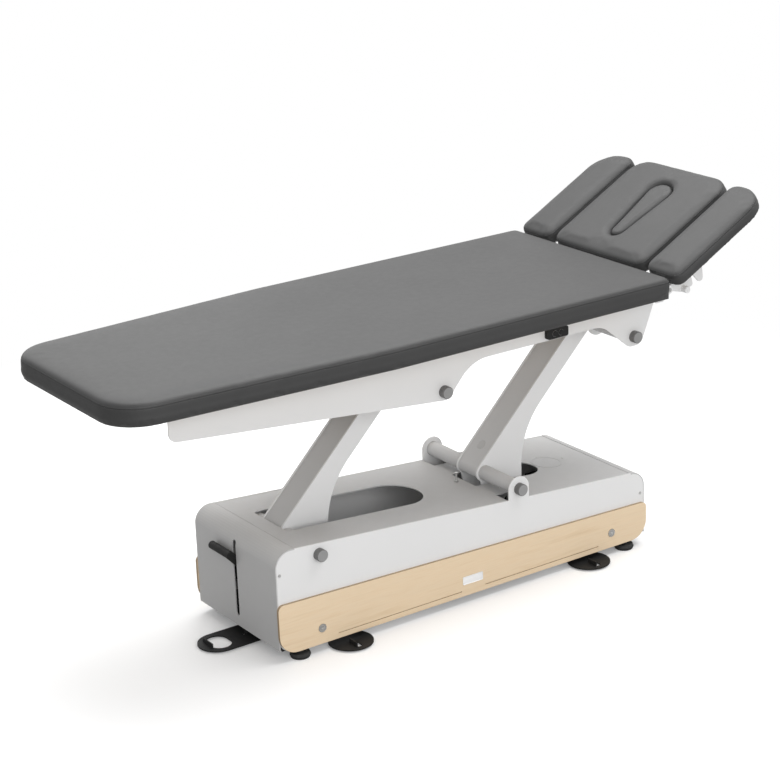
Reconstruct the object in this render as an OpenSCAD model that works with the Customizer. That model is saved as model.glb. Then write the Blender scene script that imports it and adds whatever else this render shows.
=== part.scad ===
// Electric massage table: wedge-shaped base, two parallel lifting legs, upper frame and padded top.
// Origin: on the floor under the middle of the table's length. +X runs to the head end, +Z up.

/* [Base] */
// Length of the base over the steel side plates
base_len = 1178; // [1000:2:1400]
// Width over the steel side plates, base and upper frame alike
plate_span = 387; // [340:1:460]
// Height of the side plates at the foot end
base_h_foot = 298; // [280:1:340]
// Height of the side plates at the head end
base_h_head = 212; // [190:1:240]
// Thickness of the steel side plates
side_t = 4; // [3:0.5:6]
// Thickness of the bent top and end sheets
sheet_t = 3; // [2:0.5:4]
// Radius of the rounded ends of the side plates
end_r = 44; // [30:1:44]
// Thickness of the wooden side panels
wood_t = 8; // [5:0.5:14]
// Height of the wooden panels' lower edge above the floor
wood_z = 23; // [20:1:40]
// Height of the wooden panels' upper edge at the foot end
wood_h_foot = 158; // [120:1:180]
// Height of the wooden panels' upper edge at the head end
wood_h_head = 124; // [100:1:140]
// Radius of the black rubber feet
foot_r = 27; // [20:1:32]

/* [Lifting legs] */
// Lower pivot of the foot-end leg, from the foot end of the base
pivot_foot_x = 127; // [109:1:149]
// Height of the lower pivot of the foot-end leg over the top sheet, below it where negative
pivot_foot_z = -27.7; // [-48:0.1:-26.5]
// Lower pivot of the head-end leg, from the middle of the base
pivot_head_x = 160; // [140:1:180]
// Height of the lower pivot of the head-end leg over the top sheet
pivot_head_z = 28.7; // [25:0.1:46]
// Horizontal reach of a leg between its pivots, as drawn
leg_dx = 392; // [380:1:400]
// Vertical reach of a leg between its pivots, as drawn
leg_dz = 332; // [326:1:345]
// Width of a leg over its two side plates
leg_w = 90; // [70:1:110]
// Thickness of a leg's side plates
leg_t = 5; // [4:0.5:8]
// Radius of the pivot shafts
shaft_r = 12.5; // [10:0.5:15]
// Outer radius of the grey hub tubes of the legs
hub_r = 20; // [17:0.5:22]
// Radius of the grey caps on the ends of the pivot shafts
cap_r = 16; // [14:0.5:20]
// Length of those caps
cap_len = 18.5; // [10:0.5:25]

/* [Main pad] */
// Length of the main pad
pad_len = 1590; // [1400:5:1800]
// Width of the main pad at the head end
pad_w = 656; // [600:2:700]
// Width of the main pad at the foot end
pad_w_foot = 566; // [520:2:600]
// Thickness of the main pad with its board
pad_t = 58; // [48:1:80]
// Thickness of the main board
board_t = 18; // [12:1:24]
// Height of the top of the main pad, as drawn
pad_top = 794; // [790:1:820]

/* [Head section] */
// Length of the head pads
head_len = 371; // [340:1:420]
// Thickness of the head pads with their boards
head_t = 42; // [36:1:46]
// Thickness of the head boards
head_board_t = 12; // [9:1:15]
// Width of the centre pad
centre_w = 376; // [340:2:378]
// Width of each armrest pad
arm_w = 133; // [110:1:150]
// Tilt of the head section, as drawn
head_tilt = 28; // [0:1:34]

/* [Castors and foot control] */
// Radius of the lowering castor wheels
wheel_r = 30; // [25:1:34]
// Width of the castor wheels
wheel_w = 22; // [16:1:26]
// Radius of the castor shafts
castor_shaft_r = 10; // [8:0.5:12]
// Thickness of the black foot-control plate
control_t = 3.5; // [3:0.5:5]
// Height of the foot-control plate above the floor
control_z = 4; // [3:0.5:6]

/* [Hidden] */

// Facets of round parts, and of the children of hulls and soft outlines
smooth = 64;
soft_fn = 32;
// Overrun of cuts, running clearance of a shaft in its bore, and clearance beside flat parts
over = 1;
run = 0.08;
gap = 0.5;

// Half widths of the base and of the room between its side plates
plate_y = plate_span / 2;
inner_y = plate_y - side_t;
half_len = base_len / 2;
// Slope of the base's top, and its height at any place along the base
top_drop = (base_h_foot - base_h_head) / base_len;
slope = atan(top_drop);
function top_z(x) = (base_h_foot + base_h_head) / 2 - top_drop * x;

// Pivots of the legs: lower and upper, foot end and head end, as [x, z]
low_foot = [pivot_foot_x - half_len, top_z(pivot_foot_x - half_len) + pivot_foot_z];
low_head = [pivot_head_x, top_z(pivot_head_x) + pivot_head_z];
leg = [leg_dx, leg_dz];
up_foot = low_foot + leg;
up_head = low_head + leg;

// Heights of the upper frame, board and main pad
board_z = pad_top - pad_t;
pad_end_x = 568;
pad_foot_x = pad_end_x - pad_len;

// Hinge of the head section, above and past the end of the main pad
hinge_gap = 12;
hinge_rise = 14;
hinge = [pad_end_x + hinge_gap, board_z + hinge_rise];
hinge_shaft_r = 6;
hinge_lug_r = 11;
hinge_tube_r = 9;
// Head section in its own frame: x along the pads from the hinge, z up from the hinge
head_x = 17;
head_top = pad_top - hinge.y;
head_low = head_top - head_t;
side_draw = 3;
head_crown = 3;
full_side = 0.35;
head_full = head_low + full_side * (head_t - head_crown);
head_tip = hinge.x + max((head_x + head_len - side_draw) * cos(head_tilt) - head_low * sin(head_tilt),
    (head_x + head_len) * cos(head_tilt) - head_full * sin(head_tilt));
centre_gap = 9;
arm_y = centre_w / 2 + centre_gap;

// Distance from the middle of the base to the middle of the whole table
origin_x = -(pad_foot_x + head_tip) / 2;
module placed() { translate([origin_x, 0, 0]) children(); }

// Colours
white = [0.87, 0.87, 0.86];
grey = [0.66, 0.66, 0.65];
mid_grey = [0.52, 0.52, 0.52];
wood = [0.90, 0.81, 0.66];
black = [0.15, 0.15, 0.15];
steel = [0.70, 0.71, 0.72];
pad_colour = [0.45, 0.45, 0.45];
ply = [0.80, 0.66, 0.46];
zinc = [0.76, 0.77, 0.78];

// Corners of an outline rounded by arcs: one radius for each point, zero keeps it sharp
function unit(v) = v / norm(v);
function arc(a, b, c, r, n) = let(u = unit(a - b), v = unit(c - b), half = acos(u * v) / 2,
    m = b + unit(u + v) * r / sin(half), p = b + u * r / tan(half) - m, q = b + v * r / tan(half) - m,
    start = atan2(p.y, p.x), turn = (atan2(q.y, q.x) - start + 360 + 180) % 360 - 180)
    [for (i = [0:n]) m + r * [cos(start + turn * i / n), sin(start + turn * i / n)]];
function rounded(pts, rs, n = 8) = let(k = len(pts)) [for (i = [0:k - 1])
    each rs[i] > 0 ? arc(pts[(i + k - 1) % k], pts[i], pts[(i + 1) % k], rs[i], n) : [pts[i]]];

// An outline in X and Z made a plate of thickness t whose far face is at y
module xz_plate(y, t) { translate([0, y, 0]) rotate([90, 0, 0]) linear_extrude(t) children(); }
// The same plate on the near side, at -y, with the wall going inwards
module near_plate(y, t) { xz_plate(t - y, t) children(); }
module far_plate(y, t) { xz_plate(y, t) children(); }
module at_xz(p) { translate([p.x, 0, p.y]) children(); }
// A rod along Y from y0 to y1
module rod_y(r, y0, y1) {
    translate([0, y1, 0]) rotate([90, 0, 0]) cylinder(r = r, h = y1 - y0, $fn = smooth);
}
module rod_x(r, x0, x1) {
    translate([x0, 0, 0]) rotate([0, 90, 0]) cylinder(r = r, h = x1 - x0, $fn = smooth);
}
module tube_y(ro, ri, y0, y1) {
    difference() { rod_y(ro, y0, y1); rod_y(ri, y0 - over, y1 + over); }
}
module box(lo, hi) { translate(lo) cube(hi - lo); }
// A long hole along X between two ends, in the plane of the sheet
module slot_2d(x0, x1, r) {
    translate([x0 + r, 0]) circle(r, $fn = smooth);
    translate([x1 - r, 0]) circle(r, $fn = smooth);
    translate([x0 + r, -r]) square([x1 - x0 - 2 * r, 2 * r]);
}
module both_sides() { children(); mirror([0, 1, 0]) children(); }

// Base side plates
side_z = 30;
ear_r = 33;
low_corner_r = 26;
plate_screw_in = [11, 15];
plate_screw_x = [plate_screw_in[0] - half_len, half_len - plate_screw_in[1]];
plate_screw_drop = 62;
seam_in = [58, 47];
seam_foot_x = seam_in[0] - half_len;
seam_head_x = half_len - seam_in[1];
// The plates stand back under the end covers by the thickness of the sheet
function side_outline() = let(t = sheet_t, a = t - half_len, b = half_len - t)
    rounded([[a, side_z], [b, side_z], [b, top_z(b) - t], [seam_head_x, top_z(seam_head_x) - t],
    [seam_head_x, top_z(seam_head_x)], [seam_foot_x, top_z(seam_foot_x)],
    [seam_foot_x, top_z(seam_foot_x) - t], [a, top_z(a) - t]],
    [low_corner_r, low_corner_r, end_r - t, 0, 0, 0, 0, end_r - t], 10);
module ear_2d() {
    polygon([[low_head.x - ear_r, low_head.y - 2 * ear_r], [low_head.x + ear_r, low_head.y - 2 * ear_r],
        [low_head.x + ear_r, low_head.y], [low_head.x - ear_r, low_head.y]]);
    translate(low_head) circle(ear_r, $fn = smooth);
}
module side_outline_2d() {
    difference() {
        union() { polygon(side_outline()); ear_2d(); }
        translate(low_foot) circle(shaft_r + run, $fn = smooth);
        translate(low_head) circle(shaft_r + run, $fn = smooth);
    }
}
module side_plate_near() { color(white) near_plate(plate_y, side_t) side_outline_2d(); }
module side_plate_far() { color(white) far_plate(plate_y, side_t) side_outline_2d(); }

// Top sheet: a sloped tray with a turned-down flange along each side plate
seam_gap = 1.5;
sheet_in = 0.6;
flange_h = 22;
slot_w = 162;
slot_foot_run = [20, 435];
slot_foot = [low_foot.x - slot_foot_run[0], low_foot.x + slot_foot_run[1]];
slot_foot_end_r = 14;
slot_head_run = [37, 200];
slot_head = [low_head.x - slot_head_run[0], low_head.x + slot_head_run[1]];
slot_head_w = 112;
slot_head_r = 10;
ear_hole_w = 52.5;
ear_hole = [[low_head.x - ear_r - over, low_head.x + ear_r + over], [inner_y - ear_hole_w, inner_y - gap]];
ring_in = 184;
ring_x = half_len - ring_in;
ring_r = 43;
ring_w = 3;
ring_h = 0.8;
module on_top(x) { translate([x, 0, top_z(x) - sheet_in]) rotate([0, slope, 0]) children(); }
module top_holes_2d() {
    sx = 1 / cos(slope);
    polygon(rounded([[slot_foot[0] * sx, -slot_w / 2], [slot_foot[1] * sx, -slot_w / 2],
        [slot_foot[1] * sx, slot_w / 2], [slot_foot[0] * sx, slot_w / 2]],
        [slot_foot_end_r, slot_w / 2 - over, slot_w / 2 - over, slot_foot_end_r], 16));
    polygon(rounded([[slot_head[0] * sx, -slot_head_w / 2], [slot_head[1] * sx, -slot_head_w / 2],
        [slot_head[1] * sx, slot_head_w / 2], [slot_head[0] * sx, slot_head_w / 2]],
        [slot_head_r, slot_head_w / 2 - over, slot_head_w / 2 - over, slot_head_r], 12));
    for (s = [-1, 1]) translate([ear_hole[0][0] * sx, s > 0 ? ear_hole[1][0] : -ear_hole[1][1] - gap])
        square([ear_hole[0][1] - ear_hole[0][0], ear_hole[1][1] - ear_hole[1][0] + gap]);
}
module top_plate() {
    w = inner_y - gap;
    sx = 1 / cos(slope);
    in_w = w - sheet_t;
    cut = ear_r + 2 * over;
    color(grey) {
        on_top(0) difference() {
            translate([seam_foot_x * sx + seam_gap, 0, 0]) rotate([90, 0, 90])
                linear_extrude((seam_head_x - seam_foot_x) * sx - 2 * seam_gap)
                polygon([[-w, -flange_h], [-in_w, -flange_h], [-in_w, -sheet_t], [in_w, -sheet_t],
                    [in_w, -flange_h], [w, -flange_h], [w, 0], [-w, 0]]);
            translate([0, 0, -sheet_t - over]) linear_extrude(sheet_t + 2 * over) top_holes_2d();
            for (p = [low_foot.x, low_head.x]) both_sides() box([p * sx - cut, in_w - over, -flange_h - over],
                [p * sx + cut, w + over, -sheet_t]);
        }
        on_top(ring_x) rotate_extrude($fn = smooth) translate([ring_r - ring_w, -ring_h])
            square([ring_w, 2 * ring_h]);
    }
}

// End covers: one bent sheet each, over the rounded ends of the side plates
cover_low = 34;
pedal_slot_y = 1;
pedal_slot_w = 16;
pedal_slot_in = [32, 30];
pedal_slot_z = [side_z + pedal_slot_in[0], base_h_foot - pedal_slot_in[1]];
function end_path(foot) = let(x = foot ? -half_len : half_len, h = foot ? base_h_foot : base_h_head,
    s = foot ? seam_foot_x : seam_head_x)
    [[s, top_z(s)], [x, h], [x, cover_low]];
module cover_2d(foot) {
    p = end_path(foot);
    d = foot ? 1 : -1;
    x = p[1].x;
    inner = [x + d * sheet_t, p[1].y - sheet_t - top_drop * sheet_t * d];
    polygon(rounded([p[0], p[1], p[2], [x + d * sheet_t, cover_low], inner,
        [p[0].x, p[0].y - sheet_t]], [0, end_r, 0, 0, end_r - sheet_t, 0], 10));
}
module cover_body(foot) { xz_plate(plate_y, 2 * plate_y) cover_2d(foot); }
module foot_end_cover() {
    r = pedal_slot_w / 2;
    color(grey) difference() {
        cover_body(true);
        translate([-half_len - over, pedal_slot_y, 0]) rotate([0, 90, 0]) rotate([0, 0, 180])
            linear_extrude(2 * end_r) slot_2d(pedal_slot_z[0], pedal_slot_z[1], r);
    }
}
inlet_z = 92;
inlet_size = [26, 48];
module head_end_cover() {
    color(grey) difference() {
        cover_body(false);
        translate([half_len - end_r, -inlet_size.y / 2 - gap, inlet_z - inlet_size.x / 2 - gap])
            cube([2 * end_r, inlet_size.y + 2 * gap, inlet_size.x + 2 * gap]);
    }
}
inlet_flange = 5;
inlet_depth = 28;
pin_size = [16, 2, 4];
module mains_inlet() {
    x = half_len;
    a = inlet_size.y / 2;
    b = inlet_size.x / 2;
    color(black) difference() {
        union() {
            box([x - inlet_depth, -a, inlet_z - b], [x, a, inlet_z + b]);
            box([x, -a - inlet_flange, inlet_z - b - inlet_flange], [x + sheet_t, a + inlet_flange, inlet_z + b + inlet_flange]);
        }
        box([x - inlet_depth + pin_size.z, pin_size.z - a, inlet_z - b + pin_size.z],
            [x + sheet_t + over, a - pin_size.z, inlet_z + b - pin_size.z]);
    }
    color(steel) for (k = [-1, 0, 1])
        box([x - inlet_depth + pin_size.y, k * a / 2 - pin_size.y / 2, inlet_z - pin_size.z / 2],
            [x - inlet_depth + pin_size.y + pin_size.x, k * a / 2 + pin_size.y / 2, inlet_z + pin_size.z / 2]);
}

// Wooden side panels with long engraved lines, a small recess and two screws each
wood_past = [2, 1];
wood_foot_x = -half_len - wood_past[0];
wood_head_x = half_len + wood_past[1];
wood_top_r = 15;
wood_low_r = 52;
groove_z = 38;
groove_w = 3;
groove_d = 2.5;
groove_start = 38;
groove_in = 169;
groove_x = [groove_start, half_len - groove_in];
badge = [[-34, 54], [31, 77]];
badge_d = 1.5;
badge_r = 3;
wood_screw_in = 122;
wood_screw_x = half_len - wood_screw_in;
wood_screw_z = 65;
wood_screw_r = 11;
screw_head_d = 3;
screw_core_r = 4;
module wood_2d() {
    polygon(rounded([[wood_foot_x, wood_z], [wood_head_x, wood_z], [wood_head_x, wood_h_head],
        [wood_foot_x, wood_h_foot]], [wood_low_r, wood_low_r, wood_top_r, wood_top_r], 10));
}
module wood_panel_near() {
    y = plate_y + wood_t;
    color(wood) difference() {
        near_plate(y, wood_t) wood_2d();
        for (s = [-1, 1]) {
            box([s < 0 ? -groove_x[1] : groove_x[0], -y - over, groove_z - groove_w / 2],
                [s < 0 ? -groove_x[0] : groove_x[1], groove_d - y, groove_z + groove_w / 2]);
            translate([s * wood_screw_x, 0, wood_screw_z]) {
                rod_y(screw_core_r + run, -y - over, -plate_y + over);
                rod_y(wood_screw_r + gap, -y - over, screw_head_d - y);
            }
        }
        near_plate(y + over, badge_d + over) polygon(rounded([badge[0], [badge[1].x, badge[0].y], badge[1],
            [badge[0].x, badge[1].y]], [badge_r, badge_r, badge_r, badge_r], 4));
    }
}
module wood_panel_far() { mirror([0, 1, 0]) wood_panel_near(); }
hex_r = 3.5;
hex_d = 2.5;
module wood_panel_screws() {
    y = plate_y + wood_t;
    color(steel) both_sides() for (s = [-1, 1]) translate([s * wood_screw_x, 0, wood_screw_z]) difference() {
        union() {
            rod_y(wood_screw_r, -y - over, screw_head_d - y);
            rod_y(screw_core_r, -y, -plate_y);
        }
        translate([0, hex_d - y - over, 0]) rotate([90, 0, 0]) cylinder(r = hex_r, h = hex_d + over, $fn = 6);
    }
}

// Small screws of the end covers and of the round cap on the top sheet
small_r = 4;
small_h = 1.6;
cap_screws = [[62, 7], [5, 52]];
module cover_screws() {
    color(steel) {
        both_sides() for (k = [0, 1]) {
            x = plate_screw_x[k];
            translate([x, 0, top_z(x) - plate_screw_drop]) rod_y(small_r, -plate_y - small_h, -plate_y);
        }
        for (p = cap_screws) on_top(ring_x + p.x) translate([0, p.y, 0]) cylinder(r = small_r, h = small_h, $fn = smooth);
    }
}
bolt_back = 61;
bolt_x = low_head.x - bolt_back;
bolt_r = 3;
bolt_h = 26;
nut_r = 7;
nut_h = 5;
module stop_bolt() {
    color(steel) on_top(bolt_x) {
        cylinder(r = nut_r, h = nut_h, $fn = 6);
        cylinder(r = bolt_r, h = bolt_h, $fn = soft_fn);
        translate([0, 0, bolt_h - nut_h]) cylinder(r = nut_r - bolt_r / 2, h = nut_h, $fn = 6);
    }
}

// Cross frame of the base: four box beams, foot brackets, actuator clevis and foot-control hangers
beam_in = 22;
beam_mid = 330;
beam_x = [beam_in - half_len, -beam_mid, beam_mid, half_len - beam_in];
beam_w = 24;
beam_h = 28;
beam_t = 2.5;
bracket_t = 6;
bracket_size = [58, 46];
bracket_in = 64;
bracket_x = half_len - bracket_in;
hang_y = 12;
hang_at = [[beam_x[0], 0], for (x = [beam_x[1], beam_x[2]], s = [-1, 1]) [x, s * hang_y]];
hang_r = 3.5;
hang_spacer_r = 7;
control_travel = 10;
act_drop = 113.4;
act_z = low_head.y - act_drop;
act_x0 = -300;
clevis_t = 8;
clevis_w = 34;
clevis_pin_r = 6;
module cross_beam(x) {
    color(white) difference() {
        box([x - beam_w / 2, -inner_y, side_z], [x + beam_w / 2, inner_y, side_z + beam_h]);
        box([x - beam_w / 2 + beam_t, -inner_y - over, side_z + beam_t],
            [x + beam_w / 2 - beam_t, inner_y + over, side_z + beam_h - beam_t]);
    }
}
module hanger(p) {
    translate([p.x, p.y, 0]) {
        z = control_z + control_t + gap;
        translate([0, 0, z]) cylinder(r = hang_spacer_r, h = side_z - z - run, $fn = soft_fn);
        translate([0, 0, control_z - gap]) cylinder(r = hang_r, h = side_z - control_z, $fn = soft_fn);
        translate([0, 0, control_z - gap - bolt_r / 2]) cylinder(r = hang_spacer_r, h = bolt_r / 2, $fn = soft_fn);
    }
}
module base_cross_frame() {
    for (x = beam_x) cross_beam(x);
    color(white) for (sx = [-1, 1], sy = [-1, 1])
        box([sx * bracket_x - bracket_size.x / 2, sy > 0 ? inner_y - bracket_size.y : -inner_y, side_z],
            [sx * bracket_x + bracket_size.x / 2, sy > 0 ? inner_y : bracket_size.y - inner_y, side_z + bracket_t]);
    color(white) translate([beam_x[1], 0, 0]) both_sides() near_plate(clevis_w / 2 + clevis_t, clevis_t) {
        translate([-beam_w / 2, side_z + beam_h - over]) square([beam_w, act_z - side_z - beam_h + over]);
        translate([0, act_z]) circle(beam_w / 2, $fn = smooth);
    }
    color(steel) translate([beam_x[1], 0, act_z]) rod_y(clevis_pin_r, -clevis_w / 2, clevis_w / 2);
    color(black) for (p = hang_at) hanger(p);
}
foot_h = 14;
stem_r = 9;
foot_y = plate_y - stem_r - gap;
module rubber_feet() {
    color(black) for (sx = [-1, 1], sy = [-1, 1]) translate([sx * bracket_x, sy * foot_y, 0]) {
        rotate_extrude($fn = smooth) polygon(rounded([[0, 0], [foot_r - bolt_r, 0], [foot_r, foot_h / 2],
            [foot_r - bolt_r, foot_h], [stem_r, foot_h], [stem_r, side_z], [0, side_z]],
            [0, bolt_r / 2, bolt_r, bolt_r / 2, 0, 0, 0], 4));
    }
}

// Shafts of the lower pivots and their caps
module pivot_shafts(pts) {
    color(steel) for (p = pts) at_xz(p) rod_y(shaft_r, -plate_y, plate_y);
}
cap_edge = 1.5;
module pivot_caps(pts) {
    color(mid_grey) for (p = pts) both_sides() at_xz(p) translate([0, -plate_y, 0]) rotate([90, 0, 0])
        rotate_extrude($fn = smooth) polygon([[0, 0], [cap_r, 0], [cap_r, cap_len - cap_edge],
            [cap_r - cap_edge, cap_len], [0, cap_len]]);
}
module pivot_shafts_lower() { pivot_shafts([low_foot, low_head]); }
module pivot_caps_lower() { pivot_caps([low_foot, low_head]); }
module pivot_shafts_upper() { pivot_shafts([up_foot, up_head]); }
module pivot_caps_upper() { pivot_caps([up_foot, up_head]); }

// Actuator: rear eye, gearbox, motor and outer tube; its rod ends in a block with an upright slot
lever_r = 120;
lever_angle = -82.8;
lever = lever_r * [cos(lever_angle), sin(lever_angle)];
lever_pin_r = 6;
lever_eye_r = 16;
rod_r = 10;
tube_r = 21;
tube_x1 = 62;
tube_bore_x = -190;
gear_x = -250;
motor_r = 30;
motor_drop = 56;
motor_x1 = -120;
block_y = 15;
slot_rise = 14;
slot_clear = 1.4;
block_wall = 7;
module actuator_housing() {
    color(black) {
        difference() {
            translate([0, 0, act_z]) rod_x(tube_r, gear_x - over, tube_x1);
            translate([0, 0, act_z]) rod_x(rod_r + run, tube_bore_x, tube_x1 + over);
        }
        hull() {
            translate([act_x0, 0, act_z]) rod_x(tube_r + block_wall, 0, gear_x - act_x0);
            translate([act_x0, 0, act_z - motor_drop]) rod_x(motor_r, 0, gear_x - act_x0);
        }
        translate([0, 0, act_z - motor_drop]) rod_x(motor_r, gear_x, motor_x1);
        difference() {
            translate([beam_x[1], 0, act_z]) union() {
                rod_y(clevis_pin_r + block_wall, gap - clevis_w / 2, clevis_w / 2 - gap);
                box([0, gap - clevis_w / 2, -clevis_pin_r - block_wall / 2],
                    [act_x0 - beam_x[1], clevis_w / 2 - gap, clevis_pin_r + block_wall / 2]);
            }
            translate([beam_x[1], 0, act_z]) rod_y(clevis_pin_r + run, -clevis_w, clevis_w);
        }
    }
}
rod_tail = 235;
module actuator_rod() {
    pin = low_head + lever;
    w = lever_pin_r + slot_clear;
    half = slot_rise / 2 + lever_pin_r + gap;
    color(steel) difference() {
        union() {
            translate([0, 0, act_z]) rod_x(rod_r, pin.x - rod_tail, pin.x - w);
            box([pin.x - w - block_wall, -block_y, act_z - half - block_wall],
                [pin.x + w + block_wall, block_y, act_z + half + block_wall]);
        }
        translate([pin.x, 0, act_z]) for (s = [-1, 1]) translate([0, 0, s * (half - w)]) rod_y(w, -block_y - over, block_y + over);
        box([pin.x - w, -block_y - over, act_z - half + w], [pin.x + w, block_y + over, act_z + half - w]);
    }
}
unit_lo = [200, 70, 60];
unit_hi = [320, 180, 130];
module control_unit() {
    color(black) {
        box(unit_lo, unit_hi);
        box([unit_lo.x - foot_h, unit_lo.y + foot_h, side_z + beam_h], [unit_hi.x + foot_h, unit_hi.y - foot_h, unit_lo.z]);
    }
}

// Foot control: one black plate that slides along the base, with toe fins at its three holes
tongue_past = 62;
tongue_x = -half_len - tongue_past;
tongue_r = 54;
spine_w = 56;
disc_in = 203;
disc_x = half_len - disc_in;
disc_y = 202;
disc_r = 58;
bar_w = 36;
toe_r = 29;
toe_shift = 9;
fin_t = 3;
fin_h = 12;
toe_slot_r = 8;
toe_slot_run = [10, 44];
toe_slot_y = [disc_y + toe_slot_run[0], disc_y + toe_slot_run[1]];
module control_2d() {
    difference() {
        union() {
            translate([tongue_x, 0]) circle(tongue_r, $fn = smooth);
            translate([tongue_x, -tongue_r]) square([-half_len + tongue_r - tongue_x, 2 * tongue_r]);
            translate([tongue_x, -spine_w / 2]) square([disc_x + bar_w / 2 - tongue_x, spine_w]);
            for (x = [-disc_x, disc_x]) {
                translate([x - bar_w / 2, -disc_y]) square([bar_w, 2 * disc_y]);
                for (s = [-1, 1]) translate([x, s * disc_y]) circle(disc_r, $fn = smooth);
            }
        }
        for (s = [-1, 1]) translate([tongue_x, s * toe_shift]) circle(toe_r, $fn = smooth);
        translate([tongue_x - toe_r, -toe_shift]) square([2 * toe_r, 2 * toe_shift]);
        for (x = [-disc_x, disc_x], s = [-1, 1]) translate([x, 0]) rotate([0, 0, s * 90])
            slot_2d(toe_slot_y[0], toe_slot_y[1], toe_slot_r);
        for (p = hang_at) translate([p.x, p.y])
            slot_2d(-control_travel - hang_r - gap, control_travel + hang_r + gap, hang_r + gap);
    }
}
module foot_control_frame() {
    z = control_z + control_t;
    color(black) {
        translate([0, 0, control_z]) linear_extrude(control_t) control_2d();
        box([tongue_x - toe_r - fin_t, -toe_shift - toe_r / 2, z], [tongue_x - toe_r, toe_shift + toe_r / 2, z + fin_h]);
        for (x = [-disc_x, disc_x], s = [-1, 1])
            box([x - toe_slot_r - fin_t, s > 0 ? toe_slot_y[0] : -toe_slot_y[1], z],
                [x - toe_slot_r, s > 0 ? toe_slot_y[1] : -toe_slot_y[0], z + fin_h]);
    }
}

// Castor lift: a shaft at each end with two arms, a pedal at the foot end, and a link between them
castor_in = [119, 89];
castor_z = 95;
castor_foot = [castor_in[0] - half_len, castor_z];
castor_head = [half_len - castor_in[1], castor_z];
arm_vec = [-44, -57];
crank_h = 30;
crank_y = -140;
arm_t = 5;
wheel_y = 120;
axle_r = 5;
arm_eye_r = 13;
block_size = [44, 40];
shaft_end_y = 175;
link_r = 6;
link_w = 8;
module castor_bearings() {
    color(white) for (c = [castor_foot, castor_head]) both_sides() difference() {
        box([c.x - block_size.x / 2, -inner_y, c.y - block_size.y / 2],
            [c.x + block_size.x / 2, bracket_size.y / 2 + block_wall - inner_y, c.y + block_size.y / 2]);
        at_xz(c) rod_y(castor_shaft_r + run, -inner_y - over, -inner_y / 2);
    }
}
module lever_bar(a, b, ra, rb, y, t) {
    hull() {
        at_xz(a) rod_y(ra, y, y + t, $fn = soft_fn);
        at_xz(b) rod_y(rb, y, y + t, $fn = soft_fn);
    }
}
module castor_shaft(c) {
    y = wheel_y - wheel_w / 2 - gap - arm_t;
    color(zinc) {
        at_xz(c) rod_y(castor_shaft_r, -shaft_end_y, shaft_end_y);
        for (s = [-1, 1]) {
            lever_bar(c, c + arm_vec, castor_shaft_r + block_wall, arm_eye_r, s > 0 ? y : -y - arm_t, arm_t);
            at_xz(c + arm_vec) rod_y(axle_r, s > 0 ? y : -y - arm_t - gap - wheel_w - bolt_r, s > 0 ? y + arm_t + gap + wheel_w + bolt_r : -y);
            at_xz(c + arm_vec) translate([0, s * (wheel_y + wheel_w / 2 + gap), 0])
                rod_y(axle_r + bolt_r, s > 0 ? 0 : -bolt_r, s > 0 ? bolt_r : 0);
        }
        lever_bar(c, c + [0, crank_h], castor_shaft_r + bolt_r, arm_eye_r - bolt_r, crank_y - arm_t - link_w - gap, arm_t);
        at_xz(c + [0, crank_h]) rod_y(link_r, crank_y - arm_t - link_w - gap, crank_y);
    }
}
module castor_shaft_foot() { castor_shaft(castor_foot); }
module castor_shaft_head() { castor_shaft(castor_head); }
link_clear = 0.6;
module castor_link_rod() {
    y = crank_y - link_w - gap / 2;
    a = castor_foot + [0, crank_h];
    b = castor_head + [0, crank_h];
    color(zinc) difference() {
        union() {
            for (p = [a, b]) at_xz(p) rod_y(link_r + block_wall, y, y + link_w);
            translate([0, y + link_w / 2, a.y]) rod_x(link_w / 2, a.x + link_r + bolt_r, b.x - link_r - bolt_r);
        }
        at_xz(a) rod_y(link_r + run, y - over, y + link_w + over);
        at_xz(b) rod_y(link_r + link_clear, y - over, y + link_w + over);
    }
}
tread = 3;
module castor_wheel(c, s) {
    y = s * wheel_y;
    color(black) at_xz(c + arm_vec) translate([0, y, 0]) rotate([90, 0, 0]) rotate_extrude($fn = smooth)
        polygon([[axle_r + run, -wheel_w / 2], [wheel_r - tread, -wheel_w / 2], [wheel_r, -wheel_w / 2 + tread],
            [wheel_r, wheel_w / 2 - tread], [wheel_r - tread, wheel_w / 2], [axle_r + run, wheel_w / 2]]);
}
module castor_wheel_foot_near() { castor_wheel(castor_foot, -1); }
module castor_wheel_foot_far() { castor_wheel(castor_foot, 1); }
module castor_wheel_head_near() { castor_wheel(castor_head, -1); }
module castor_wheel_head_far() { castor_wheel(castor_head, 1); }
pedal_past = 14;
pedal_low = 67;
pedal_tip = [-half_len - pedal_past, base_h_foot - pedal_low];
pedal_t = 10;
pedal_r = 10.5;
pedal_reach = 91;
module castor_pedal() {
    y = pedal_slot_y - pedal_t / 2;
    color(black) {
        difference() {
            lever_bar(castor_foot, pedal_tip, castor_shaft_r + block_wall, pedal_r, y, pedal_t);
            at_xz(castor_foot) rod_y(castor_shaft_r + run, y - over, y + pedal_t + over);
        }
        at_xz(pedal_tip) rod_y(pedal_r, y, y + pedal_reach);
    }
}

// Legs: two side plates, a grey front sheet between them, and a hub tube at each end
rear_drop = 38;
boot_x = 124;
boot_z = -44;
boot_r = 238;
boot_low_r = 18;
eye_r = 26;
top_eye_r = 32;
lever_turn = 28;
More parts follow.
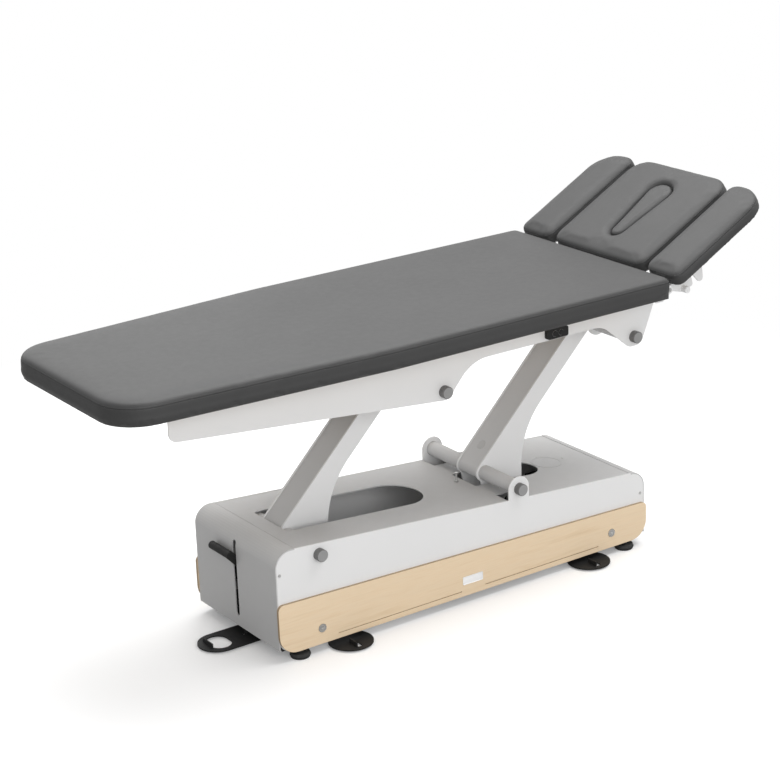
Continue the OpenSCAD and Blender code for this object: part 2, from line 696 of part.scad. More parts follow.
// The front edge is tangent to the lower eye and rises at 45 degrees to the top of the upper eye
front_rise = eye_r * sqrt(2);
front_top = leg.y + top_eye_r - over - front_rise;
plate_gap_r = 0.05;
function leg_outline(lever_end) = let(q = leg.y - top_eye_r / 4)
    rounded(concat([[2 * run - front_rise / 2, front_rise / 2 - 2 * run], [front_top, front_top + front_rise],
        [leg.x, leg.y + top_eye_r - over], leg, [q + rear_drop, q],
        [boot_x, boot_x - rear_drop], [boot_x, boot_z]],
        lever_end ? [[lever.x + lever_eye_r - over, lever.y], [lever.x + over - lever_eye_r, lever.y],
        (over - eye_r) * [sin(lever_turn), cos(lever_turn)]] : [[over - eye_r, 0]]),
        concat([0, eye_r, 0, 0, 0, boot_r, boot_low_r], lever_end ? [0, 0, 0] : [0]), 12);
module leg_2d(lever_end) {
    difference() {
        union() {
            polygon(leg_outline(lever_end));
            circle(eye_r, $fn = smooth);
            translate(leg) circle(top_eye_r, $fn = smooth);
            if (lever_end) translate(lever) circle(lever_eye_r, $fn = smooth);
        }
        circle(hub_r + plate_gap_r, $fn = smooth);
        translate(leg) circle(hub_r + plate_gap_r, $fn = smooth);
    }
}
module leg_plates(base, lever_end) {
    color(white) at_xz(base) both_sides() near_plate(leg_w / 2, leg_t) leg_2d(lever_end);
}
cover_set = 2;
cover_t = 3;
module cover_strip_2d() {
    f = front_top - eye_r / 3;
    n = [1, -1] / sqrt(2);
    a = [-front_rise / 2, front_rise / 2] + n * cover_set - [1, 1] * over / 2;
    b = [f, f + front_rise] + n * cover_set;
    polygon([a, b, b + n * cover_t, a + n * cover_t]);
}
module leg_cover(base) {
    y = leg_w / 2 - leg_t;
    color(grey) at_xz(base) xz_plate(y, 2 * y) difference() {
        union() {
            cover_strip_2d();
            intersection() {
                circle(eye_r - cover_set, $fn = smooth);
                polygon([[0, 0], [-2 * hub_r, 2 * hub_r], [-2 * hub_r, -hub_r]]);
            }
        }
        circle(hub_r + plate_gap_r, $fn = smooth);
    }
}
module leg_hubs(base) {
    y = inner_y - gap;
    color(grey) for (p = [base, base + leg]) at_xz(p) tube_y(hub_r, shaft_r + run, -y, y);
}
module leg_foot_plates() { leg_plates(low_foot, false); }
module leg_foot_cover() { leg_cover(low_foot); }
module leg_foot_hubs() { leg_hubs(low_foot); }
module leg_head_plates() { leg_plates(low_head, true); }
module leg_head_cover() { leg_cover(low_head); }
module leg_head_hubs() {
    leg_hubs(low_head);
    color(steel) at_xz(low_head + lever) rod_y(lever_pin_r, leg_t - leg_w / 2, leg_w / 2 - leg_t);
}

// Upper frame: two side plates cut with arches, joined by box tubes
frame_foot_in = 172;
frame_foot_x = pad_foot_x + frame_foot_in;
frame_end_h = 90;
frame_low_foot = board_z - frame_end_h;
web_h = 82;
web_z = board_z - web_h;
frame_mid_at = [13, -26];
frame_low_mid = up_foot + frame_mid_at;
arch_in = [88, 108];
arch_x = [up_foot.x + arch_in[0], up_head.x - arch_in[1]];
boss_w = [-16, 25];
boss_h = 27;
boss_low = [for (w = boss_w) up_head + [w, -boss_h]];
nose_at = [44, -60];
frame_nose = hinge + nose_at;
frame_rs = [0, 22, 26, 110, 80, 22, 26, 14, bolt_r, 0, 0, 0];
spring_back = 180;
spring_drop = 60;
spring_at = hinge - [spring_back, spring_drop];
upper_tube_in = 70;
upper_tube_mid = [-330, 130];
upper_tube_x = [frame_foot_x + upper_tube_in, upper_tube_mid[0], upper_tube_mid[1], spring_at.x];
upper_tube_w = 40;
upper_tube_h = 30;
upper_tube_z = board_z - upper_tube_h;
module upper_2d() {
    difference() {
        union() {
            polygon(rounded([[frame_foot_x, board_z], [frame_foot_x, frame_low_foot], frame_low_mid,
                [arch_x[0], web_z], [arch_x[1], web_z], boss_low[0], boss_low[1], frame_nose,
                [hinge.x + hinge_lug_r + bolt_r, board_z - bolt_r], [hinge.x + hinge_lug_r, hinge.y],
                [hinge.x - hinge_lug_r, hinge.y], [hinge.x - hinge_lug_r, board_z]],
                frame_rs, 10));
            translate(hinge) circle(hinge_lug_r, $fn = smooth);
        }
        for (p = [up_foot, up_head]) translate(p) circle(shaft_r + run, $fn = smooth);
        translate(hinge) circle(hinge_shaft_r + run, $fn = smooth);
    }
}
module upper_plate_near() { color(white) near_plate(plate_y, side_t) upper_2d(); }
module upper_plate_far() { color(white) far_plate(plate_y, side_t) upper_2d(); }

// Gas spring between the rearmost upper tube and the head frame
spring_eye = [20, -30];
spring_r = 10;
spring_rod_r = 4;
spring_pin_r = 4;
spring_clear = 3;
spring_lug_y = 9;
spring_lug_t = 5;
module upper_cross_tubes() {
    color(white) {
        for (x = upper_tube_x) difference() {
            box([x - upper_tube_w / 2, -inner_y, upper_tube_z], [x + upper_tube_w / 2, inner_y, upper_tube_z + upper_tube_h]);
            box([x - upper_tube_w / 2 + beam_t, -inner_y - over, upper_tube_z + beam_t],
                [x + upper_tube_w / 2 - beam_t, inner_y + over, upper_tube_z + upper_tube_h - beam_t]);
        }
        for (s = [-1, 1]) lever_bar([spring_at.x - foot_h, upper_tube_z - over], spring_at, bolt_r, block_wall + over,
            s > 0 ? spring_lug_y : -spring_lug_y - spring_lug_t, spring_lug_t);
    }
    color(steel) at_xz(spring_at) rod_y(spring_pin_r, -spring_lug_y, spring_lug_y);
}

// The main board and pad share one outline, tapered to the foot end
pad_taper_x = -300;
pad_foot_r = 105;
least_r = 1;
pad_head_r = 14;
board_in = 4;
function pad_outline(d) = let(a = pad_foot_x + d, b = pad_end_x - d, h = pad_w / 2 - d, f = pad_w_foot / 2 - d)
    rounded([[a, -f], [pad_taper_x, -h], [b, -h], [b, h], [pad_taper_x, h], [a, f]],
        [for (r = [pad_foot_r, 3 * pad_foot_r, pad_head_r, pad_head_r, 3 * pad_foot_r, pad_foot_r]) max(r - d, least_r)], 7);
module main_board() { color(ply) translate([0, 0, board_z]) linear_extrude(board_t) polygon(pad_outline(board_in + gap)); }

// A padded form: drawn-in foot of the side wall, full side, rounded edge and a crowned top.
// The outline is a function of the distance inwards, so every level has the same points.
module padded_form(outline, h, edge_r, crown, draw_in) {
    n = len(outline(0));
    steps = 4;
    levels = concat([[draw_in, 0], [0, h * full_side], [0, h - edge_r]],
        [for (i = [1:steps]) [edge_r * (1 - cos(90 * i / steps)), h - edge_r + edge_r * sin(90 * i / steps)]],
        [[edge_r * 2.2, h + crown]]);
    pts = [for (l = levels, p = outline(l[0])) [p.x, p.y, l[1]]];
    m = len(levels);
    sides = [for (j = [0:m - 2], i = [0:n - 1]) each
        [[j * n + i, (j + 1) * n + i, j * n + (i + 1) % n], [j * n + (i + 1) % n, (j + 1) * n + i, (j + 1) * n + (i + 1) % n]]];
    polyhedron(pts, concat(sides, [[for (i = [0:n - 1]) i]], [[for (i = [n - 1:-1:0]) (m - 1) * n + i]]), convexity = 4);
}
edge_r = 14;
pad_crown = 1;
module main_pad() {
    color(pad_colour) difference() {
        translate([0, 0, board_z]) padded_form(function(d) pad_outline(d), pad_t - pad_crown, edge_r, pad_crown, side_draw);
        translate([0, 0, board_z - over]) linear_extrude(board_t + over) polygon(pad_outline(board_in));
    }
}

// Control box with two push buttons on the near side of the upper frame
control_lo = [252, 660];
control_hi = [320, 687];
control_d = 13;
control_r = 6;
button_x = [276, 296];
button_z = 673.5;
button_r = 7;
button_out = 2.2;
button_press = 1.5;
button_deep = 6;
module control_box() {
    color(black) difference() {
        near_plate(plate_y + control_d, control_d) polygon(rounded([control_lo, [control_hi.x, control_lo.y],
            control_hi, [control_lo.x, control_hi.y]], [control_r, control_r, control_r, control_r], 5));
        for (x = button_x) at_xz([x, button_z])
            rod_y(button_r + run * 3, -plate_y - control_d - over, -plate_y - control_d + button_deep + button_press + run * 3);
    }
}
module button(x) {
    y = -plate_y - control_d;
    color(mid_grey) at_xz([x, button_z]) rod_y(button_r, y - button_out, y + button_deep);
}
module button_up() { button(button_x[1]); }
module button_down() { button(button_x[0]); }

// Hinge shaft of the head section and its outer brackets under the main board
outer_in = 32;
outer_y = arm_y + arm_w - outer_in;
outer_t = 5;
outer_len = 46;
outer_drop = 12;
outer_foot_x = pad_end_x - outer_len;
module head_hinge_shaft() { color(steel) at_xz(hinge) rod_y(hinge_shaft_r, -outer_y - outer_t, outer_y + outer_t); }
module outer_hinge_brackets() {
    color(white) both_sides() {
        difference() {
            near_plate(outer_y + outer_t, outer_t) union() {
                polygon([[outer_foot_x, board_z], [outer_foot_x + outer_drop, board_z - outer_drop],
                    [pad_end_x - outer_drop, board_z - outer_drop], [hinge.x, hinge.y - hinge_lug_r + over],
                    [hinge.x - hinge_lug_r + over, hinge.y], [pad_end_x + over, board_z], [pad_end_x - side_draw, board_z - gap / 2]]);
                translate(hinge) circle(hinge_lug_r - over, $fn = smooth);
            }
            at_xz(hinge) rod_y(hinge_shaft_r + run, -outer_y - outer_t - over, -outer_y + over);
        }
        box([outer_foot_x, -outer_y, board_z - outer_t], [pad_end_x - foot_h, -outer_y + 2 * foot_h, board_z]);
    }
}
module in_head() { at_xz(hinge) rotate([0, -head_tilt, 0]) children(); }
// The gas spring lies along the line from its lower pin to the head frame's eye
eye_at = hinge + [spring_eye.x * cos(head_tilt) - spring_eye.y * sin(head_tilt),
    spring_eye.x * sin(head_tilt) + spring_eye.y * cos(head_tilt)];
spring_line = eye_at - spring_at;
spring_angle = atan2(spring_line.y, spring_line.x);
spring_len = norm(spring_line);
cylinder_len = 128;
module along_spring() { at_xz(spring_at) rotate([0, -spring_angle, 0]) children(); }
module gas_spring_cylinder() {
    w = spring_lug_y - gap;
    color(black) along_spring() difference() {
        union() {
            rod_x(spring_r, block_wall + bolt_r, cylinder_len);
            rod_y(block_wall + over, -w, w);
            box([0, -w, -bolt_r], [block_wall + 2 * bolt_r, w, bolt_r]);
        }
        rod_y(spring_pin_r + run, -spring_lug_y - over, spring_lug_y + over);
        rod_x(spring_rod_r + run, block_wall + 3 * bolt_r, cylinder_len + over);
    }
}
module gas_spring_rod() {
    w = spring_lug_y - gap;
    color(steel) along_spring() {
        rod_x(spring_rod_r, cylinder_len / 2, spring_len - spring_pin_r);
        translate([spring_len, 0, 0]) rod_y(block_wall, -w / 2, w / 2);
        translate([spring_len, 0, 0]) rod_y(spring_pin_r, -spring_lug_y - spring_lug_t, spring_lug_y + spring_lug_t);
    }
}

// Head frame: hinge tube, two rails and the lugs of the gas spring
rail_in = 78;
rail_y = centre_w / 2 - rail_in;
rail_w = 30;
rail_h = 16;
rail_short = 28;
rail_len = head_x + head_len - rail_short;
hub_in = 13;
hub_y = arm_y - hub_in;
module head_frame() {
    z = head_low;
    color(white) in_head() difference() {
        union() {
            rod_y(hinge_tube_r, -hub_y, hub_y);
            for (s = [-1, 1]) {
                box([0, s * rail_y - rail_w / 2, z - rail_h], [rail_len, s * rail_y + rail_w / 2, z]);
                lever_bar([spring_eye.x + block_wall, z - rail_h / 2], spring_eye, rail_h / 2, spring_pin_r + spring_clear + spring_lug_t,
                    s > 0 ? spring_lug_y + gap : -spring_lug_y - spring_lug_t - gap, spring_lug_t);
            }
            box([head_x, -rail_y, z - rail_h], [head_x + rail_w, rail_y, z]);
            box([rail_len - rail_w, -rail_y, z - rail_h], [rail_len, rail_y, z]);
        }
        rod_y(hinge_shaft_r + run, -hub_y - over, hub_y + over);
        at_xz(spring_eye) rod_y(spring_pin_r + spring_clear, -spring_lug_y - spring_lug_t - over, spring_lug_y + spring_lug_t + over);
    }
}

// Centre pad with its long face hole, and the plug that fills it
face_x = [115, 273];
face_r = [24, 43];
plug_gap = 2;
ledge = 8;
module face_2d(d) {
    hull() for (i = [0, 1]) translate([face_x[i], 0]) circle(face_r[i] - d, $fn = soft_fn);
}
function head_outline(y0, y1, end, rs, d) = rounded([[head_x + d, y0 + d], [end - d, y0 + d],
    [end - d, y1 - d], [head_x + d, y1 - d]], [for (r = rs) max(r - d, least_r)], 8);
function centre_outline(d) = head_outline(-centre_w / 2, centre_w / 2, head_x + head_len, centre_rs, d);
centre_rs = [34, 62, 62, 34];
head_board_in = 5;
head_edge_r = 13;
module centre_board() {
    color(ply) in_head() translate([0, 0, head_low]) linear_extrude(head_board_t) difference() {
        polygon(centre_outline(head_board_in + gap));
        face_2d(ledge);
    }
}
module head_pad(outline) {
    difference() {
        translate([0, 0, head_low]) padded_form(outline, head_t - head_crown, head_edge_r, head_crown, side_draw);
        translate([0, 0, head_low - over]) linear_extrude(head_board_t + over) polygon(outline(head_board_in));
    }
}
module centre_pad() {
    color(pad_colour) in_head() difference() {
        head_pad(function(d) centre_outline(d));
        translate([0, 0, head_low]) linear_extrude(2 * head_t) face_2d(0);
    }
}
plug_edge = 8;
module face_plug() {
    h = head_t - head_board_t - head_crown;
    color(pad_colour) in_head() translate([0, 0, head_low + head_board_t]) hull() {
        linear_extrude(h - plug_edge) face_2d(plug_gap);
        linear_extrude(h - plug_edge / 3) face_2d(plug_gap + plug_edge / 3);
        linear_extrude(h) face_2d(plug_gap + plug_edge);
    }
}

// Armrests: board, pad, carrying arms on the hinge shaft, and a release lever
arm_rs = [26, 84, 30, 30];
arm_short = 8;
function arm_outline(d) = head_outline(-arm_y - arm_w, -arm_y, head_x + head_len - arm_short, arm_rs, d);
module arm_outline_pad(s) {
    color(pad_colour) in_head() mirror([0, s > 0 ? 1 : 0, 0]) head_pad(function(d) arm_outline(d));
}
module arm_board(s) {
    color(ply) in_head() mirror([0, s > 0 ? 1 : 0, 0]) translate([0, 0, head_low]) linear_extrude(head_board_t)
        polygon(arm_outline(head_board_in + gap));
}
module armrest_board_near() { arm_board(-1); }
module armrest_board_far() { arm_board(1); }
module armrest_pad_near() { arm_outline_pad(-1); }
module armrest_pad_far() { arm_outline_pad(1); }
arm_hub_in = [8, 38];
arm_hub_y = [arm_y + arm_hub_in[0], arm_y + arm_w - arm_hub_in[1]];
fin_in = 48;
fin_y = arm_y + arm_w - fin_in;
fin_plate_t = 5;
fin_pivot = [104, -14];
stud_at = [50, -40];
stud_r = 9;
// Points of the fin below the pad's underside, as [along, down]
fin_pts = [[150, 0], [132, 26], [90, 20], [82, 54], [62, 54], [40, 46], [8, 16]];
fin_rs = [0, 0, 0, 8, 10, 6, 8, 9, 8];
module arm_fin_2d() {
    polygon(rounded([[-hinge_lug_r, -bolt_r], [head_x, head_low], for (p = fin_pts) [p.x, head_low - p.y]], fin_rs, 5));
    circle(hinge_lug_r, $fn = smooth);
}
module armrest_arms(s) {
    color(white) in_head() mirror([0, s > 0 ? 1 : 0, 0]) {
        difference() {
            union() {
                rod_y(hinge_tube_r, -arm_hub_y[1], -arm_hub_y[0]);
                near_plate(fin_y + fin_plate_t / 2, fin_plate_t) arm_fin_2d();
                box([head_x + over, -arm_hub_y[1], head_low - bolt_r], [head_x + foot_h, -arm_hub_y[0], head_low]);
                box([0, -arm_hub_y[1], -bolt_r], [head_x + foot_h, -arm_hub_y[0], head_low]);
                box([head_x, -fin_y, head_low - bolt_r], [fin_pts[0].x, -arm_hub_y[0], head_low]);
            }
            rod_y(hinge_shaft_r + run, -arm_hub_y[1] - over, -arm_hub_y[0] + over);
            at_xz(fin_pivot) rod_y(spring_pin_r + run, -fin_y - outer_t, outer_t - fin_y);
        }
    }
    color(mid_grey) in_head() mirror([0, s > 0 ? 1 : 0, 0])
        at_xz(stud_at) rod_y(stud_r, -fin_y - fin_plate_t / 2 - 2 * stud_r, -fin_y - fin_plate_t / 2);
}
module armrest_arms_near() { armrest_arms(-1); }
module armrest_arms_far() { armrest_arms(1); }
lever_in = 12;
lever_y = fin_y - lever_in;
lever_t = 6;
lever_grip = [[116, -58], [128, -30]];
module armrest_lever(s) {
    color(white) in_head() mirror([0, s > 0 ? 1 : 0, 0]) {
        at_xz(fin_pivot) rod_y(spring_pin_r, -fin_y - fin_plate_t / 2 - over, -lever_y);
        hull() {
            at_xz(fin_pivot) rod_y(stud_r, -lever_y - lever_t, -lever_y, $fn = soft_fn);
            at_xz(lever_grip[0]) rod_y(stud_r + over, -lever_y - lever_t, -lever_y, $fn = soft_fn);
            at_xz(lever_grip[1]) rod_y(stud_r, -lever_y - lever_t, -lever_y, $fn = soft_fn);
        }
    }
}
module armrest_lever_near() { armrest_lever(-1); }
module armrest_lever_far() { armrest_lever(1); }

placed() side_plate_near();
placed() side_plate_far();
placed() top_plate();
placed() foot_end_cover();
placed() head_end_cover();
placed() wood_panel_near();
placed() wood_panel_far();
placed() base_cross_frame();
placed() rubber_feet();
placed() castor_bearings();
placed() pivot_shafts_lower();
placed() pivot_caps_lower();
placed() stop_bolt();
placed() wood_panel_screws();
placed() cover_screws();
placed() actuator_housing();
placed() control_unit();
placed() mains_inlet();
placed() actuator_rod();
placed() foot_control_frame();
placed() castor_shaft_foot();
placed() castor_pedal();
placed() castor_shaft_head();
placed() castor_link_rod();
placed() castor_wheel_foot_near();
placed() castor_wheel_foot_far();
placed() castor_wheel_head_near();
placed() castor_wheel_head_far();
placed() leg_foot_plates();
placed() leg_foot_cover();
placed() leg_head_plates();
placed() leg_head_cover();
placed() leg_head_hubs();
placed() leg_foot_hubs();
placed() upper_plate_near();
placed() upper_plate_far();
placed() upper_cross_tubes();
placed() pivot_shafts_upper();
placed() pivot_caps_upper();
placed() main_board();
placed() main_pad();
placed() control_box();
placed() button_up();
placed() button_down();
placed() head_hinge_shaft();
placed() outer_hinge_brackets();
placed() gas_spring_cylinder();
placed() gas_spring_rod();
placed() head_frame();
placed() centre_board();
placed() centre_pad();
placed() face_plug();
placed() armrest_board_near();
placed() armrest_board_far();
placed() armrest_pad_near();
placed() armrest_pad_far();
placed() armrest_arms_near();
placed() armrest_arms_far();
placed() armrest_lever_near();
placed() armrest_lever_far();
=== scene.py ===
"""Looks of an electric massage table: sewn pads, coated steel, birch panels and a pale studio floor."""

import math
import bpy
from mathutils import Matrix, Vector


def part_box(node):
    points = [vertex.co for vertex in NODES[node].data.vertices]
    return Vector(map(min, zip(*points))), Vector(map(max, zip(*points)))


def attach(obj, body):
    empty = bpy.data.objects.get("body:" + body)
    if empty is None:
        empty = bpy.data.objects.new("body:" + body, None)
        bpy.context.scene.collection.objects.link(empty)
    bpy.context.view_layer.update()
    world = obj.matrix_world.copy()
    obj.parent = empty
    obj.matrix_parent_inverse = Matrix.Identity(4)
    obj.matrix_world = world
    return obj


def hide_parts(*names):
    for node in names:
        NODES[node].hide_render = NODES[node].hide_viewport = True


bl_info = {
    "name": "Massage Table Looks",
    "version": (1, 0, 0),
    "blender": (4, 5, 0),
    "location": "View3D > Sidebar > Massage Table",
    "description": "Dresses the massage table's frame with sewn pads, coatings, wood grain and a studio",
    "category": "Object",
}

import bmesh
import bpy
from mathutils import Matrix, Vector, noise

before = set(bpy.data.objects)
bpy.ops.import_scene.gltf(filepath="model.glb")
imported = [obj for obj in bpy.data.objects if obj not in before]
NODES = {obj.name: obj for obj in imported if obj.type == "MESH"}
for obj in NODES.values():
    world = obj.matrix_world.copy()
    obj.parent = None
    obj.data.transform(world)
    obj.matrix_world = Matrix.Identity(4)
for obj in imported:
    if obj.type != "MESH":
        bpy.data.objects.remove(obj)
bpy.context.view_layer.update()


def centre_of(node):
    low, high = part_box(node)
    return (low + high) / 2


# The head section turns on its hinge shaft, and lies at this tilt as drawn
HEAD_HINGE = centre_of("head_hinge_shaft")
HEAD_TILT = math.radians(28)
# The middle of the base, which lies this far before the hinge
BASE_TO_HINGE = 0.58
BASE_X = HEAD_HINGE.x - BASE_TO_HINGE
# Underside of the head pads over the hinge, and of the main pad over the floor
HEAD_LOW = 0.002
MAIN_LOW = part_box("main_pad")[0].z
# Where the main pad starts to narrow towards the foot end, and its half width there
TAPER_X = BASE_X - 0.300
FOOT_HALF = 0.283
# The face hole in the head section's own plane: along the pads, radius
FACE_SMALL = (0.115, 0.024)
FACE_WIDE = (0.273, 0.043)
# The head-end leg's lower pivot, and how far its front sheet stands off the line through it
LEG_PIVOT = Vector((BASE_X + 0.160, 0.0, 0.27202))
LEG_FRONT = 0.0230
# The recess in each wooden panel, from the middle of the base: lowest and highest corner, and depth
RECESS_LOW = (-0.034, 0.054)
RECESS_HIGH = (0.031, 0.077)
RECESS_DEPTH = 0.0015
# Blank plate in the recess: thickness, gap round it, corner radius, rounding of its edges
PLATE_THICK = 0.0013
PLATE_GAP = 0.0004
PLATE_CORNER = 0.0026
PLATE_ROUNDING = 0.0003
# Plug in the leg: distance up the leg from the pivot, radius, thickness, and each step's width and rise
LEG_PLUG_UP = 0.060
LEG_PLUG_RADIUS = 0.0135
LEG_PLUG_THICK = 0.003
LEG_PLUG_STEPS = ((0.0022, 0.0007), (0.0030, 0.0002))
# Ring round a button: half its thickness, and its distance from the button
RING_HALF = 0.0005
RING_GAP = 0.0009
# Thickness of the head pads with their boards, and of those boards
HEAD_THICK = 0.042
HEAD_BOARD = 0.012
# How far the cover stands off the sides of its board
COVER_GAP = 0.0008
# Cloth simulation: its frames, and the height over the board below which the cover is held
CLOTH_FRAMES = 20
HELD_OVER_BOARD = 0.001
# Tucks of the cover beside its seam: reach, depth and about how many lie in a metre
TUCK_REACH = 0.012
TUCK_DEPTH = 0.0006
TUCKS_PER_METRE = 38
# No seam runs this close to the face hole, and this much less cover is drawn under round it
HOLE_SEAM_FREE = 0.02
HOLE_WRAP_LESS = 0.008
# Half length, width and height of a stitch
STITCH_HALVES = (0.0019, 0.00048, 0.00048)
# Face plug: size of its faces, height below which it is held, furthest that a point moves
FACE_PLUG_VOXEL = 0.003
FACE_PLUG_HELD = 0.016
FACE_PLUG_SWELL = 0.001
# Rounding of the boards' edges
BOARD_ROUNDING = 0.007
# Camera: place, seen from the middle of the base, and azimuth, height and roll in degrees
CAMERA_PLACE = (-3.0552, -4.3605, 2.4043)
CAMERA_ANGLES = (-34.11, 19.39, -2.2)
# Lamps: name, place, the point that they shine at, width and depth, and the setting of their power
LAMPS = (("top_lamp", (0.9, 0.3, 3.6), (0.3, 0, 0.5), (4.5, 3.5), "key"),
         ("side_lamp", (-1.2, -4.2, 1.9), (0, 0, 0.5), (3.5, 2.2), "side"),
         ("back_lamp", (0.3, 4.0, 1.8), (0, 0, 0.2), (3.0, 1.6), "back"))


# Selection and copies

def pick(piece):
    """Makes one object the only selected and active one."""
    if bpy.context.object and bpy.context.object.mode != "OBJECT":
        bpy.ops.object.mode_set(mode="OBJECT")
    bpy.ops.object.select_all(action="DESELECT")
    piece.select_set(True)
    bpy.context.view_layer.objects.active = piece


def copy_of(node, name):
    """A merged copy of a CAD node's mesh, free of its normals and materials."""
    piece = bpy.data.objects.new(name, NODES[node].data.copy())
    bpy.context.scene.collection.objects.link(piece)
    piece.data.materials.clear()
    pick(piece)
    bpy.ops.mesh.customdata_custom_splitnormals_clear()
    bpy.ops.object.mode_set(mode="EDIT")
    bpy.ops.mesh.select_all(action="SELECT")
    bpy.ops.mesh.remove_doubles(threshold=1e-5)
    bpy.ops.mesh.normals_make_consistent(inside=False)
    bpy.ops.object.mode_set(mode="OBJECT")
    return piece


def joined(piece, other):
    """One object that holds both meshes."""
    pick(piece)
    other.select_set(True)
    bpy.ops.object.join()
    return piece


def apply(piece, kind, **values):
    """Adds a modifier, sets it and applies it."""
    pick(piece)
    mod = piece.modifiers.new(kind.title(), kind)
    for key, value in values.items():
        setattr(mod, key, value)
    bpy.ops.object.modifier_apply(modifier=mod.name)


def at_origin(piece):
    """Puts a piece's place into its mesh."""
    pick(piece)
    bpy.ops.object.transform_apply(location=True, rotation=True, scale=True)


def dress(piece, material, body):
    """Gives a new piece its material and its body."""
    piece.data.materials.clear()
    piece.data.materials.append(material)
    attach(piece, body)


# Materials

class Surface:
    """A node-based material with a few helpers for its pattern."""

    def __init__(self, name, colour, rough, metallic=0.0, **sockets):
        self.material = bpy.data.materials.new(name)
        self.material.use_nodes = True
        self.tree = self.material.node_tree
        self.shader = self.tree.nodes["Principled BSDF"]
        self.shader.inputs["Base Color"].default_value = (*colour, 1)
        self.shader.inputs["Roughness"].default_value = rough
        self.shader.inputs["Metallic"].default_value = metallic
        for key, value in sockets.items():
            self.shader.inputs[key.replace("_", " ")].default_value = value
        self.place = self.tree.nodes.new("ShaderNodeTexCoord").outputs["Object"]

    def node(self, kind, **values):
        made = self.tree.nodes.new(kind)
        for key, value in values.items():
            key = key.replace("_", " ")
            if key in made.inputs:
                if isinstance(value, bpy.types.NodeSocket):
                    self.tree.links.new(value, made.inputs[key])
                else:
                    made.inputs[key].default_value = value
            else:
                setattr(made, key.replace(" ", "_"), value)
        return made

    def part(self, vector, axis):
        """The size of one component of a vector, without its sign."""
        apart = self.node("ShaderNodeSeparateXYZ", Vector=vector)
        made = self.node("ShaderNodeMath", operation="ABSOLUTE")
        self.tree.links.new(apart.outputs[axis], made.inputs[0])
        return made.outputs[0]

    def facing(self, axis):
        """How squarely the surface faces along an axis."""
        return self.part(self.node("ShaderNodeNewGeometry").outputs["Normal"], axis)

    def stretched(self, scale):
        return self.node("ShaderNodeMapping", Vector=self.place, Scale=scale).outputs["Vector"]

    def grain(self, scale, detail=3.0, rough=0.55, stretch=(1, 1, 1)):
        made = self.node("ShaderNodeTexNoise", Vector=self.stretched(stretch), Scale=scale, Detail=detail)
        made.inputs["Roughness"].default_value = rough
        return made.outputs["Fac"]

    def cells(self, scale):
        made = self.node("ShaderNodeTexVoronoi", Vector=self.place, Scale=scale, feature="SMOOTH_F1")
        made.inputs["Smoothness"].default_value = 0.6
        return made.outputs["Distance"]

    def spread(self, value, low, high, start=0.3, stop=0.7):
        made = self.tree.nodes.new("ShaderNodeMapRange")
        self.tree.links.new(value, made.inputs["Value"])
        for key, number in (("From Min", start), ("From Max", stop), ("To Min", low), ("To Max", high)):
            made.inputs[key].default_value = number
        return made.outputs["Result"]

    def tones(self, value, stops):
        made = self.tree.nodes.new("ShaderNodeValToRGB")
        self.tree.links.new(value, made.inputs["Fac"])
        ramp = made.color_ramp
        while len(ramp.elements) < len(stops):
            ramp.elements.new(0.5)
        for element, (where, colour) in zip(ramp.elements, stops):
            element.position = where
            element.color = (*colour, 1)
        return made.outputs["Color"]

    def mixed(self, factor, first, second, blend="MIX"):
        """Two colours, each a socket or three numbers, mixed by a socket or a number."""
        made = self.node("ShaderNodeMix", data_type="RGBA", blend_type=blend)
        ends = (made.inputs[0], made.inputs[6], made.inputs[7])
        for socket, value in zip(ends, (factor, first, second)):
            if isinstance(value, bpy.types.NodeSocket):
                self.tree.links.new(value, socket)
            else:
                socket.default_value = value if socket == made.inputs[0] else (*value, 1)
        return made.outputs[2]

    def colour(self, socket):
        self.tree.links.new(socket, self.shader.inputs["Base Color"])

    def rough(self, socket):
        self.tree.links.new(socket, self.shader.inputs["Roughness"])

    def bump(self, height, strength, depth, under=None):
        made = self.node("ShaderNodeBump", Height=height, Strength=strength, Distance=depth)
        if under:
            self.tree.links.new(under, made.inputs["Normal"])
        self.tree.links.new(made.outputs["Normal"], self.shader.inputs["Normal"])
        return made.outputs["Normal"]


def shade(colour, amount):
    return tuple(min(1.0, c * amount) for c in colour[:3])


def artificial_leather(colour):
    """Fine-grained upholstery vinyl: small cells, faint mottling and a soft sheen."""
    s = Surface("artificial_leather", colour, 0.46, Specular_IOR_Level=0.2)
    s.colour(s.tones(s.grain(6, 2), ((0.3, shade(colour, 0.96)), (0.7, shade(colour, 1.04)))))
    s.rough(s.spread(s.grain(60, 3), 0.47, 0.51))
    pores = s.bump(s.cells(950), 0.14, 0.0004)
    s.bump(s.grain(260, 4), 0.05, 0.0005, pores)
    return s.material


def seam_thread(colour):
    """Twisted sewing thread, a little paler than the cover."""
    s = Surface("seam_thread", shade(colour, 1.6), 0.6)
    s.colour(s.tones(s.grain(900, 2), ((0.35, shade(colour, 1.1)), (0.65, shade(colour, 2.0)))))
    s.bump(s.grain(2500, 2), 0.4, 0.0002)
    return s.material


def powder_coat(name, colour, rough=0.42, gloss=0.4):
    """Baked powder paint: slight orange peel and faint unevenness of gloss."""
    s = Surface(name, colour, rough, Specular_IOR_Level=gloss)
    s.colour(s.tones(s.grain(3, 2), ((0.3, shade(colour, 0.98)), (0.7, shade(colour, 1.0)))))
    s.rough(s.spread(s.grain(45, 3), rough - 0.05, rough + 0.06))
    peel = s.bump(s.grain(700, 2), 0.05, 0.0003)
    s.bump(s.cells(2200), 0.03, 0.0002, peel)
    return s.material


